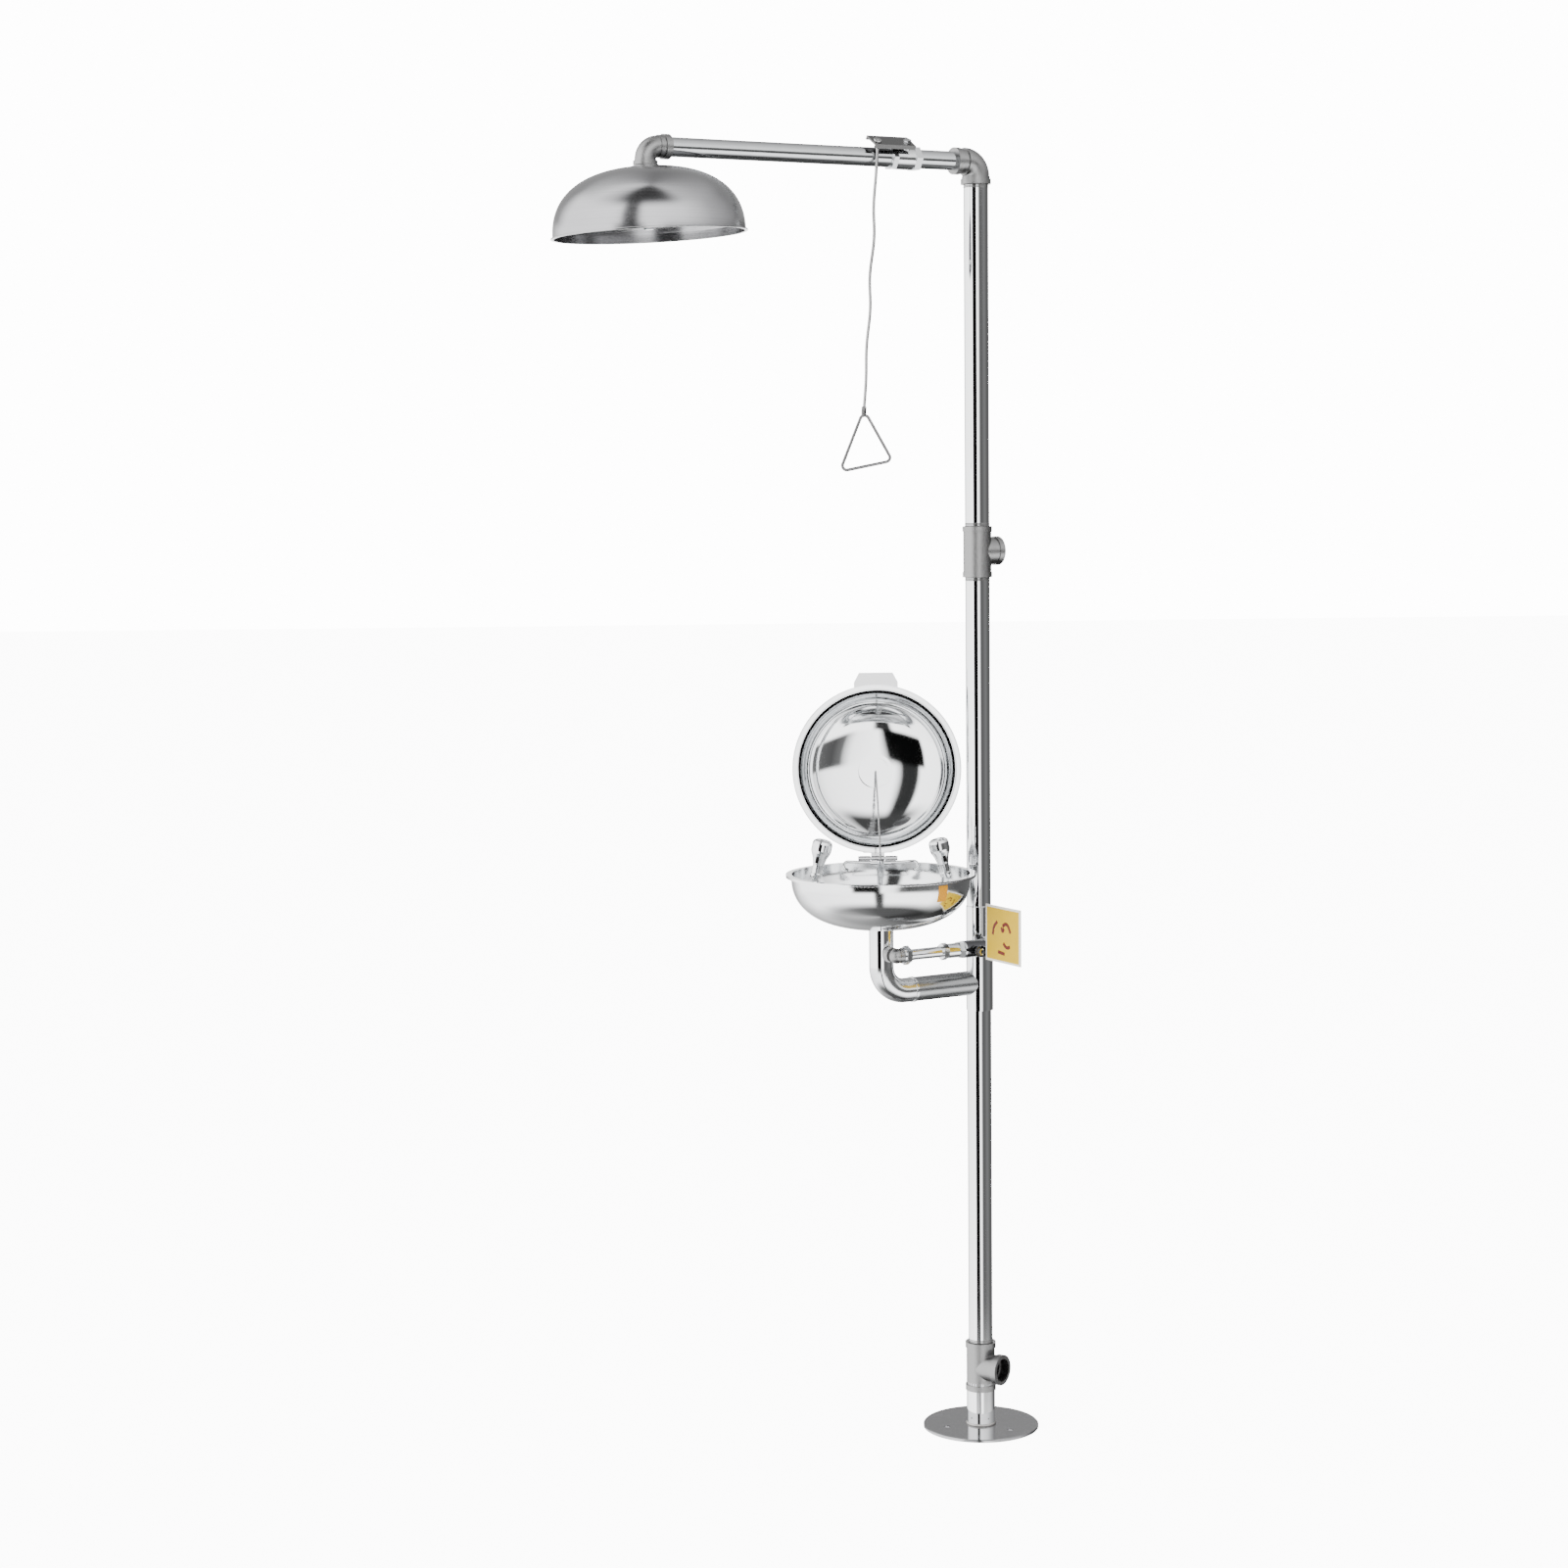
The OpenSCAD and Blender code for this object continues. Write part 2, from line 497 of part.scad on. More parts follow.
// ---- lid and hinge, drawn closed and swung to rest by at_lid ----
module hinge_bracket() color([0.70, 0.71, 0.72]) at_bowl() difference() {
    union() {
        translate([-32, bowl_d / 2 - 3, bowl_z]) cube([64, 12, 2]);
        for (x = [-32, 13]) {
            translate([x, hinge_y, hinge_z]) rotate([0, 90, 0]) cylinder(h = 19, r = 4.5);
            translate([x, hinge_y - 4.5, bowl_z + 0.5]) cube([19, 9, hinge_z - bowl_z]);
        }
    }
    translate([-40, hinge_y, hinge_z]) rotate([0, 90, 0]) cylinder(h = 80, r = 2.5);
    translate([-12.4, hinge_y - 20, bowl_z - 0.01]) cube([24.8, 40, 20]);
    for (x = [-27, 27]) translate([x, rivet_y, bowl_z - 1]) cylinder(h = 3.4, r = rivet_r);
}
module hinge_pin() color([0.5, 0.5, 0.5]) at_bowl() translate([0, hinge_y, hinge_z]) rotate([0, 90, 0]) {
    translate([0, 0, -33]) cylinder(h = 66, r = 2.5);
    for (z = [-35, 32]) translate([0, 0, z]) cylinder(h = 3, r = 4);
}
module hinge_rivets() color([0.5, 0.5, 0.5]) at_bowl() for (x = [-27, 27]) translate([x, rivet_y, bowl_z]) {
    translate([0, 0, -1.5]) cylinder(h = 3.4, r = rivet_r);
    translate([0, 0, -2.7]) cylinder(h = 1.2, r = 3);
}
module lid() color([0.80, 0.81, 0.82]) at_lid() translate([0, 0, hinge_z]) rotate_extrude($fn = 144)
    polygon(concat([[lid_d / 2, 0], [lid_d / 2, 2.5], [lid_d / 2 - 9, 2.5]],
        [for (p = dome(lid_d / 2 - 9, lid_h, 2.6)) if (p[1] > 2.5) p],
        back(dome(lid_d / 2 - 10.5, lid_h - 1.5, 2.6))));
module lid_tab() color([0.74, 0.75, 0.76]) at_lid() translate([0, -lid_d / 2, hinge_z]) difference() {
    linear_extrude(2) polygon([[-39, 8], [-39, -4], [-30, -21], [30, -21], [39, -4], [39, 8]]);
    translate([0, lid_d / 2, -1]) cylinder(h = 5, r = lid_d / 2);
}
module lid_boss() color([0.82, 0.82, 0.82]) at_lid() translate([0, 0, hinge_z + lid_h - 11]) difference() {
    cylinder(h = 8.7, r = 30);
    translate([0, 0, -1]) cylinder(h = 8, r = 24);
}
module lid_hinge_leaf() color([0.70, 0.71, 0.72]) at_lid() difference() {
    union() {
        translate([-12, hinge_y, hinge_z]) rotate([0, 90, 0]) cylinder(h = 24, r = 4.5);
        translate([-12, lid_d / 2 - 8, hinge_z + 2.5]) cube([24, 17, 2]);
        translate([-26, lid_d / 2 - 8, hinge_z + 2.5]) cube([52, 7, 2]);
    }
    translate([-40, hinge_y, hinge_z]) rotate([0, 90, 0]) cylinder(h = 80, r = 2.55);
}
module lid_chain() color([0.6, 0.6, 0.6]) at_bowl() {
    a = hinge_z + (lid_h - 8) * cos(lid_open) + hinge_y * sin(lid_open);
    b = hinge_y + (lid_h - 8) * sin(lid_open) - hinge_y * cos(lid_open);
    link([0, b, a], [0, 4, bowl_z + 23], 1.2);
}

// ---- push plate, square to the arm, on the eyewash valve's stem ----
module at_flag() at_arm() translate([-eye_valve_s, -feed_t, feed_z]) children();
module flag_bracket() color([0.4, 0.4, 0.4]) at_flag() difference() {
    union() {
        translate([0, -34, 0]) rotate([90, 0, 0]) cylinder(h = 4, r = 10);
        translate([0, -38, -8]) cube([strip_x, 4, 16]);
        translate([strip_x, -72, -8]) cube([3, 38, 16]);
    }
    translate([0, -20, 0]) rotate([90, 0, 0]) cylinder(h = 40, r = 3.5);
}
module flag_plate() color([0.90, 0.88, 0.80]) at_flag() translate([strip_x - 2.5, -46 - flag_w, -13])
    cube([2.5, flag_w, flag_h]);
module flag_label() color([0.95, 0.80, 0.10]) at_flag() translate([strip_x - 2.9, -50 - flag_w + 8, -9])
    cube([0.4, flag_w - 8, flag_h - 8]);
module flag_nut() color([0.5, 0.5, 0.5]) at_flag() translate([0, -38, 0]) rotate([90, 0, 0]) difference() {
    cylinder(h = 4, r = 6.4, $fn = 6);
    translate([0, 0, -1]) cylinder(h = 6, r = 3.5);
}
module bowl_label() color([0.95, 0.72, 0.10]) at_bowl() rotate([0, 0, -49]) translate([0, 0, bowl_z])
    mirror([0, 0, 1])
    intersection() {
        difference() {
            rotate_extrude($fn = 144) polygon(concat(dome(bowl_d / 2 + 0.5, bowl_h + 0.5, 2.5), [[0, 0]]));
            rotate_extrude($fn = 144) polygon(concat(dome(bowl_d / 2 + 0.1, bowl_h + 0.1, 2.5), [[0, 0]]));
        }
        translate([100, -10, 7]) cube([80, 20, 28]);
    }

base_plate();
base_stub();
outlet_tee();
lower_pipe();
manifold();
manifold_divider();
middle_pipe();
inlet_tee();
upper_pipe();
top_elbow();
valve_nipple();
shower_valve_body();
shower_valve_end();
shower_valve_seats();
shower_arm();
head_elbow();
head_spigot();
head_nut();
shower_head();
spray_disc();
spray_disc_screw();
drain_arm();
drain_bend();
bowl_stem();
bowl();
bowl_strainer();
feed_nipple();
feed_elbow_pole();
eyewash_valve_body();
eyewash_valve_end();
eyewash_valve_seats();
feed_pipe();
feed_union_nut();
feed_elbow_bowl();
riser();
yoke();
nozzle_left();
nozzle_right();
nozzle_filters();
chain_post();
hinge_bracket();
hinge_pin();
hinge_rivets();
bowl_label();
lid_chain();
lid();
lid_tab();
lid_boss();
lid_hinge_leaf();
shower_lever();
shower_stem();
shower_ball();
lever_nut();
pull_rod();
pull_handle();
flag_bracket();
flag_plate();
flag_label();
eyewash_stem_ball();
flag_nut();
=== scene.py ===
import json
import math

import bmesh
import bpy
from mathutils import Matrix, Vector


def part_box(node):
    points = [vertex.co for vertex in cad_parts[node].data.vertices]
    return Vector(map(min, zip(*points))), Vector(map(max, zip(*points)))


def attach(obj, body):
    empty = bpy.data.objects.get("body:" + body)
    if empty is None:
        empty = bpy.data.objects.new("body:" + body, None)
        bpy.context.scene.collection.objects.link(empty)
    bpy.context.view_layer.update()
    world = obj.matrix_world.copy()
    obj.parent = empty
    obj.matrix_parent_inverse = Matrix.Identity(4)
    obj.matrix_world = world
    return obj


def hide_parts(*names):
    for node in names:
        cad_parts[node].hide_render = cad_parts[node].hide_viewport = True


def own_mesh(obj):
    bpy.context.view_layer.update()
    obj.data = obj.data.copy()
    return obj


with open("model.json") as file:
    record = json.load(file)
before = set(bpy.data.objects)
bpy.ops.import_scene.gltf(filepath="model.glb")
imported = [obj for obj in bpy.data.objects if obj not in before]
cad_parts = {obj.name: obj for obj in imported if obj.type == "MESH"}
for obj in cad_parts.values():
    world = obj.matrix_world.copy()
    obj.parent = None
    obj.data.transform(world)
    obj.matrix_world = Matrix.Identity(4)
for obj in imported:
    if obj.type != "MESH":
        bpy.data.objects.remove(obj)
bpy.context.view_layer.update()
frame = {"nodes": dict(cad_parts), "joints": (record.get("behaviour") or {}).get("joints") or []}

# ---------------------------------------------------------------- camera
# A long lens five metres in front of the pole and a little to the left of it, below the shower head's height,
# tipped slightly down and rolled by half a degree.
camera_place = (-0.340, -5.4, 1.694)
camera_dip = 5.7
camera_data = bpy.data.cameras.new("camera")
camera_data.lens = 71.2
camera_data.sensor_width = 36.0
camera = bpy.data.objects.new("camera", camera_data)
bpy.context.scene.collection.objects.link(camera)
camera_tip = Matrix.Rotation(math.radians(90.0 - camera_dip), 4, "X")
camera_roll = Matrix.Rotation(math.radians(-0.6), 4, "Z")
camera.matrix_world = Matrix.Translation(camera_place) @ camera_tip @ camera_roll
bpy.context.scene.camera = camera

# ---------------------------------------------------------------- studio
# A white studio, which polished pipes show as their stripes: bright on the left, one black strip beside
# the camera, a dark wall on the right at eye height, a grey floor and a ceiling that is dark in front.
# The camera itself sees plain white.
world = bpy.data.worlds.new("studio")
bpy.context.scene.world = world
world.use_nodes = True
w_nodes = world.node_tree.nodes
w_links = world.node_tree.links
w_nodes.clear()
w_coord = w_nodes.new("ShaderNodeTexCoord")
w_split = w_nodes.new("ShaderNodeSeparateXYZ")
w_links.new(w_coord.outputs["Generated"], w_split.inputs[0])
w_back = w_nodes.new("ShaderNodeMath")
w_back.operation = "MULTIPLY"
w_back.inputs[1].default_value = -1.0
w_links.new(w_split.outputs["Y"], w_back.inputs[0])
w_turn = w_nodes.new("ShaderNodeMath")
w_turn.operation = "ARCTAN2"
w_links.new(w_split.outputs["X"], w_turn.inputs[0])
w_links.new(w_back.outputs[0], w_turn.inputs[1])
w_round = w_nodes.new("ShaderNodeMapRange")
w_round.inputs["From Min"].default_value = -math.pi
w_round.inputs["From Max"].default_value = math.pi
w_links.new(w_turn.outputs[0], w_round.inputs["Value"])


def studio_ring(stops):
    """Greys round the room at one height, each at its bearing in degrees, rightwards from the camera."""
    ring = w_nodes.new("ShaderNodeValToRGB")
    elements = ring.color_ramp.elements
    elements.remove(elements[1])
    for number, (bearing, grey) in enumerate(stops):
        place = (bearing + 180.0) / 360.0
        element = elements[0] if number == 0 else elements.new(place)
        element.position = place
        element.color = (grey, grey, grey, 1.0)
    w_links.new(w_round.outputs["Result"], ring.inputs["Fac"])
    return ring.outputs["Color"]


# Five heights of the room, from under the pieces to over them.
floor_ring = studio_ring([(-180, 0.08), (-120, 0.22), (-60, 0.07), (-15, 0.035), (60, 0.03), (110, 0.01),
                          (150, 0.03), (180, 0.08)])
low_ring = studio_ring([(-180, 0.12), (-150, 0.35), (-120, 0.8), (-12, 1.0), (-9, 0.012), (1, 0.012),
                        (4, 1.0), (75, 1.0), (105, 0.3), (125, 0.006), (165, 0.006), (180, 0.12)])
level_ring = studio_ring([(-180, 0.9), (-172, 0.9), (-166, 0.12), (-150, 0.3), (-125, 0.9), (-41, 1.0),
                          (-37, 0.001), (-4, 0.001), (0, 1.0), (14, 0.8), (24, 0.06), (35, 0.03), (75, 0.06),
                          (110, 0.03), (166, 0.04), (172, 0.9), (180, 0.9)])
high_ring = studio_ring([(-180, 0.13), (-140, 0.16), (-115, 0.9), (-34, 1.0), (-28, 0.012), (-12, 0.012),
                         (-6, 1.0), (45, 0.8), (85, 0.35), (130, 0.14), (180, 0.13)])
ceiling_ring = studio_ring([(-180, 0.10), (-130, 0.4), (-90, 0.8), (-60, 0.5), (-35, 0.02), (30, 0.02),
                            (55, 0.5), (110, 0.3), (180, 0.10)])


def studio_blend(below, above, low, high):
    """Goes from one ring to the next above it, between two heights of a direction's upward part."""
    edge = w_nodes.new("ShaderNodeMapRange")
    edge.interpolation_type = "SMOOTHSTEP"
    edge.inputs["From Min"].default_value = low
    edge.inputs["From Max"].default_value = high
    w_links.new(w_split.outputs["Z"], edge.inputs["Value"])
    mix = w_nodes.new("ShaderNodeMix")
    mix.data_type = "RGBA"
    w_links.new(edge.outputs["Result"], mix.inputs["Factor"])
    w_links.new(below, mix.inputs["A"])
    w_links.new(above, mix.inputs["B"])
    return mix.outputs["Result"]


room = studio_blend(floor_ring, low_ring, -0.88, -0.60)
room = studio_blend(room, level_ring, -0.36, -0.26)
room = studio_blend(room, high_ring, 0.09, 0.16)
room = studio_blend(room, ceiling_ring, 0.56, 0.78)
w_seen = w_nodes.new("ShaderNodeBackground")
w_seen.inputs["Color"].default_value = (1.0, 1.0, 1.0, 1.0)
w_seen.inputs["Strength"].default_value = 14.0
w_room = w_nodes.new("ShaderNodeBackground")
w_room.inputs["Strength"].default_value = 4.4
w_links.new(room, w_room.inputs["Color"])
w_path = w_nodes.new("ShaderNodeLightPath")
w_pick = w_nodes.new("ShaderNodeMixShader")
w_out = w_nodes.new("ShaderNodeOutputWorld")
w_links.new(w_path.outputs["Is Camera Ray"], w_pick.inputs["Fac"])
w_links.new(w_room.outputs[0], w_pick.inputs[1])
w_links.new(w_seen.outputs[0], w_pick.inputs[2])
w_links.new(w_pick.outputs[0], w_out.inputs["Surface"])


def soft_light(name, place, aim, size, power):
    lamp = bpy.data.lights.new(name, "AREA")
    lamp.shape = "SQUARE"
    lamp.size = size
    lamp.energy = power
    holder = bpy.data.objects.new(name, lamp)
    holder.location = place
    holder.rotation_euler = (Vector(aim) - Vector(place)).to_track_quat("-Z", "Y").to_euler()
    holder.visible_glossy = False
    bpy.context.scene.collection.objects.link(holder)


soft_light("key_light", (-3.0, -3.4, 3.4), (-0.2, 0.0, 1.1), 2.2, 60)
soft_light("fill_light", (2.6, -2.6, 2.0), (0.0, 0.0, 1.0), 2.0, 20)

# The floor is a wide pale sheet that only the camera sees.
bpy.ops.object.select_all(action="DESELECT")
bpy.ops.mesh.primitive_plane_add(size=60.0, location=(0.0, 0.0, -0.0005))
floor = bpy.context.object
floor.name = "floor"
floor_mat = bpy.data.materials.new("studio_floor")
floor_mat.use_nodes = True
floor_shader = floor_mat.node_tree.nodes["Principled BSDF"]
floor_shader.inputs["Base Color"].default_value = (0.93, 0.93, 0.93, 1.0)
floor_shader.inputs["Roughness"].default_value = 0.9
floor_shader.inputs["Emission Color"].default_value = (1.0, 1.0, 1.0, 1.0)
floor_shader.inputs["Emission Strength"].default_value = 10.0
floor.data.materials.append(floor_mat)
floor.visible_glossy = False
floor.visible_diffuse = False

# ---------------------------------------------------------------- foot
# The round foot is laser-cut 5 mm stainless plate with a ground, slightly dulled face, and three holes for
# floor bolts. The stub pipe stands on it in a ring of weld.


def new_group(name, inputs, outputs):
    group = bpy.data.node_groups.new(name, "ShaderNodeTree")
    for socket_name, value in inputs:
        kind = "NodeSocketVector" if isinstance(value, tuple) else "NodeSocketFloat"
        socket = group.interface.new_socket(socket_name, in_out="INPUT", socket_type=kind)
        socket.default_value = value
    for socket_name in outputs:
        group.interface.new_socket(socket_name, in_out="OUTPUT", socket_type="NodeSocketFloat")
    return group, group.nodes.new("NodeGroupInput"), group.nodes.new("NodeGroupOutput")


# Grinding or drawing lines: fine noise pulled long in one direction.
grain_group, g_in, g_out = new_group(
    "drawn_grain", [("Pull", (900.0, 900.0, 12.0)), ("Weight", 1.0)], ["Lines"])
g_coord = grain_group.nodes.new("ShaderNodeTexCoord")
g_scale = grain_group.nodes.new("ShaderNodeVectorMath")
g_scale.operation = "MULTIPLY"
g_noise = grain_group.nodes.new("ShaderNodeTexNoise")
g_noise.inputs["Scale"].default_value = 1.0
g_noise.inputs["Detail"].default_value = 3.0
g_weight = grain_group.nodes.new("ShaderNodeMath")
g_weight.operation = "MULTIPLY"
grain_group.links.new(g_coord.outputs["Object"], g_scale.inputs[0])
grain_group.links.new(g_in.outputs["Pull"], g_scale.inputs[1])
grain_group.links.new(g_scale.outputs[0], g_noise.inputs["Vector"])
grain_group.links.new(g_noise.outputs["Fac"], g_weight.inputs[0])
grain_group.links.new(g_in.outputs["Weight"], g_weight.inputs[1])
grain_group.links.new(g_weight.outputs[0], g_out.inputs["Lines"])

# Lathe lines: the same noise run round an upright axis at a given place, so it rings the piece.
lathe_group, t_in, t_out = new_group(
    "lathe_rings", [("Axis Place", (0.0, 0.0, 0.0)), ("Fineness", 700.0)], ["Lines"])
t_coord = lathe_group.nodes.new("ShaderNodeTexCoord")
t_shift = lathe_group.nodes.new("ShaderNodeVectorMath")
t_shift.operation = "SUBTRACT"
t_flat = lathe_group.nodes.new("ShaderNodeVectorMath")
t_flat.operation = "MULTIPLY"
t_flat.inputs[1].default_value = (1.0, 1.0, 0.0)
t_radius = lathe_group.nodes.new("ShaderNodeVectorMath")
t_radius.operation = "LENGTH"
t_split = lathe_group.nodes.new("ShaderNodeSeparateXYZ")
t_join = lathe_group.nodes.new("ShaderNodeCombineXYZ")
t_fine = lathe_group.nodes.new("ShaderNodeVectorMath")
t_fine.operation = "SCALE"
t_noise = lathe_group.nodes.new("ShaderNodeTexNoise")
t_noise.inputs["Scale"].default_value = 1.0
t_noise.inputs["Detail"].default_value = 3.0
lathe_group.links.new(t_coord.outputs["Object"], t_shift.inputs[0])
lathe_group.links.new(t_in.outputs["Axis Place"], t_shift.inputs[1])
lathe_group.links.new(t_shift.outputs[0], t_flat.inputs[0])
lathe_group.links.new(t_flat.outputs[0], t_radius.inputs[0])
lathe_group.links.new(t_shift.outputs[0], t_split.inputs[0])
lathe_group.links.new(t_radius.outputs["Value"], t_join.inputs["X"])
lathe_group.links.new(t_split.outputs["Z"], t_join.inputs["Z"])
lathe_group.links.new(t_join.outputs[0], t_fine.inputs[0])
lathe_group.links.new(t_in.outputs["Fineness"], t_fine.inputs["Scale"])
lathe_group.links.new(t_fine.outputs[0], t_noise.inputs["Vector"])
lathe_group.links.new(t_noise.outputs["Fac"], t_out.inputs["Lines"])

# Handling marks: soft patches, as dried water and finger grease leave on steel.
marks_group, m_in, m_out = new_group("handling_marks", [("Patch Size", 9.0), ("Edge", 0.55)], ["Patches"])
m_coord = marks_group.nodes.new("ShaderNodeTexCoord")
m_noise = marks_group.nodes.new("ShaderNodeTexNoise")
m_noise.inputs["Detail"].default_value = 6.0
m_noise.inputs["Roughness"].default_value = 0.65
m_range = marks_group.nodes.new("ShaderNodeMapRange")
m_range.inputs["From Max"].default_value = 0.8
marks_group.links.new(m_coord.outputs["Object"], m_noise.inputs["Vector"])
marks_group.links.new(m_in.outputs["Patch Size"], m_noise.inputs["Scale"])
marks_group.links.new(m_in.outputs["Edge"], m_range.inputs["From Min"])
marks_group.links.new(m_noise.outputs["Fac"], m_range.inputs["Value"])
marks_group.links.new(m_range.outputs["Result"], m_out.inputs["Patches"])


def place_group(material, group, values):
    node = material.node_tree.nodes.new("ShaderNodeGroup")
    node.node_tree = group
    for socket_name, value in values.items():
        node.inputs[socket_name].default_value = value
    return node


def grey_mix(material, factor, low, high):
    ramp = material.node_tree.nodes.new("ShaderNodeMapRange")
    ramp.inputs["To Min"].default_value = low
    ramp.inputs["To Max"].default_value = high
    material.node_tree.links.new(factor, ramp.inputs["Value"])
    return ramp.outputs["Result"]


def steel(name, tint, gloss, pull=None, axis=None, depth=0.02, fineness=700.0, patch=9.0, dull=0.12):
    """Stainless steel: tint is its colour, gloss its roughness, and its lines are drawn along a pull or run
    round an axis. Patches of handling make it duller by the amount dull."""
    mat = bpy.data.materials.new(name)
    mat.use_nodes = True
    nodes, links = mat.node_tree.nodes, mat.node_tree.links
    shader = nodes["Principled BSDF"]
    shader.inputs["Metallic"].default_value = 1.0
    if axis is None:
        lines = place_group(mat, grain_group, {"Pull": pull or (900.0, 900.0, 12.0)})
    else:
        lines = place_group(mat, lathe_group, {"Axis Place": axis, "Fineness": fineness})
    marks = place_group(mat, marks_group, {"Patch Size": patch})
    shade = nodes.new("ShaderNodeMix")
    shade.data_type = "RGBA"
    shade.inputs["A"].default_value = (*tint, 1.0)
    shade.inputs["B"].default_value = (*[0.80 * c for c in tint], 1.0)
    links.new(grey_mix(mat, lines.outputs["Lines"], 0.0, 0.8), shade.inputs["Factor"])
    links.new(shade.outputs["Result"], shader.inputs["Base Color"])
    rough = nodes.new("ShaderNodeMath")
    rough.operation = "ADD"
    links.new(grey_mix(mat, lines.outputs["Lines"], gloss * 0.7, gloss * 1.3), rough.inputs[0])
    links.new(grey_mix(mat, marks.outputs["Patches"], 0.0, dull), rough.inputs[1])
    links.new(rough.outputs[0], shader.inputs["Roughness"])
    bump = nodes.new("ShaderNodeBump")
    bump.inputs["Strength"].default_value = depth
    bump.inputs["Distance"].default_value = 0.001
    links.new(lines.outputs["Lines"], bump.inputs["Height"])
    links.new(bump.outputs["Normal"], shader.inputs["Normal"])
    return mat


def dress(material, *names):
    for name in names:
        node = frame["nodes"][name]
        node.data.materials.clear()
        node.data.materials.append(material)


foot_steel = steel("foot_ground_steel", (0.34, 0.34, 0.35), 0.13, pull=(30.0, 900.0, 200.0), depth=0.04)
dress(foot_steel, "base_plate")


def clear_selection():
    if bpy.context.object is not None and bpy.context.object.mode != "OBJECT":
        bpy.ops.object.mode_set(mode="OBJECT")
    bpy.ops.object.select_all(action="DESELECT")


def settle(piece, name, material, body):
    """Fixes a finished piece's place into its mesh, names it, gives it its finish and puts it on its body."""
    clear_selection()
    bpy.context.view_layer.objects.active = piece
    piece.select_set(True)
    bpy.ops.object.transform_apply(location=True, rotation=True, scale=True)
    piece.name = name
    piece.data.name = name
    piece.data.materials.clear()
    piece.data.materials.append(material)
    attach(piece, body)
    return piece


def weld_bead(place, radius, thick, ripples=46):
    """A ring of weld: a torus whose face rises and falls once for each dab of the torch."""
    clear_selection()
    bpy.ops.mesh.primitive_torus_add(
        major_segments=ripples * 4, minor_segments=10, major_radius=radius, minor_radius=thick)
    ring = bpy.context.object
    for vertex in ring.data.vertices:
        around = math.atan2(vertex.co.y, vertex.co.x)
        swell = 1.0 + 0.14 * abs(math.sin(ripples * around / 2.0))
        centre = Vector((math.cos(around), math.sin(around), 0.0)) * radius
        vertex.co = centre + (vertex.co - centre) * swell
    bpy.ops.object.shade_smooth()
    ring.location = place
    return ring


weld_steel = steel("weld_steel", (0.42, 0.41, 0.40), 0.34, pull=(500.0, 500.0, 500.0), depth=0.3,
                   dull=0.2)
foot_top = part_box("base_plate")[1].z
pipe_low, pipe_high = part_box("lower_pipe")
pole_r = (pipe_high.x - pipe_low.x) / 2.0
weld_r = 0.0028
foot_weld = weld_bead((0.0, 0.0, foot_top + 0.0015), pole_r + 0.0025, weld_r)
settle(foot_weld, "foot_weld", weld_steel, "stand")

# ---------------------------------------------------------------- pole pipes
# Lengths of 42.4 mm stainless tube, polished to a mirror along their length, screwed into the fittings.
# The shower arm, the valve's nipple and the drain's tube are level and all run out on one bearing.
pipe_polish = steel("pipe_polish", (0.84, 0.85, 0.86), 0.05, pull=(600.0, 600.0, 3.0), depth=0.01,
                    dull=0.05)
arm_polish = steel("arm_polish", (0.44, 0.45, 0.46), 0.12, pull=(90.0, 90.0, 500.0), depth=0.02, dull=0.08)
bend_polish = steel("bend_polish", (0.66, 0.67, 0.68), 0.15, pull=(200.0, 200.0, 200.0), depth=0.03,
                    dull=0.08)
dress(bend_polish, "drain_bend")
drain_satin = steel("drain_satin", (0.26, 0.265, 0.27), 0.28, pull=(60.0, 60.0, 700.0), depth=0.06, dull=0.08)
tube_wall = 0.002


def drawn_tube(node_name, material, bearing=None):
    """The tube of a CAD node, upright or level along a bearing, with a wall and truly round faces."""
    low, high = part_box(node_name)
    half = (high - low) / 2.0
    clear_selection()
    if bearing is None:
        radius, length = half.x, 2.0 * half.z
    else:
        radius = half.z
        length = 2.0 * (half.x - radius * abs(math.sin(bearing))) / abs(math.cos(bearing))
    bpy.ops.mesh.primitive_cylinder_add(vertices=128, radius=radius, depth=length, end_fill_type="NOTHING")
    tube = bpy.context.object
    wall = tube.modifiers.new("wall", "SOLIDIFY")
    wall.thickness = tube_wall
    wall.offset = -1.0
    bpy.ops.object.modifier_apply(modifier="wall")
    bpy.ops.object.shade_smooth_by_angle(angle=math.radians(30))
    tube.location = (low + high) / 2.0
    if bearing is not None:
        tube.rotation_euler = (0.0, math.radians(90.0), bearing)
    settle(tube, node_name + "_tube", material, "stand")
    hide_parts(node_name)
    return tube


for pipe_name in ["base_stub", "lower_pipe", "manifold", "middle_pipe", "upper_pipe", "bowl_stem"]:
    drawn_tube(pipe_name, pipe_polish)
arm_bearing = math.radians(30.0)
drawn_tube("drain_arm", drain_satin, arm_bearing)
for pipe_name in ["shower_arm", "valve_nipple"]:
    drawn_tube(pipe_name, arm_polish, arm_bearing)

# ---------------------------------------------------------------- cast fittings
# The two tees and the elbows are investment castings in stainless steel, with a fine blasted skin, satin
# against the pipes. The pipes are screwed into them on taper threads.
cast_satin = steel("cast_satin", (0.24, 0.24, 0.24), 0.30, pull=(1500.0, 1500.0, 1500.0), depth=0.25,
                   dull=0.12)
dress(cast_satin, "outlet_tee", "inlet_tee", "top_elbow", "head_elbow", "head_nut", "head_spigot",
      "feed_elbow_pole", "feed_elbow_bowl", "manifold_divider")


# A few turns of bare thread stand out of each socket, where the taper thread ran out of depth.
thread_pitch = 0.0022
thread_turn_count = 3
thread_root = 0.966


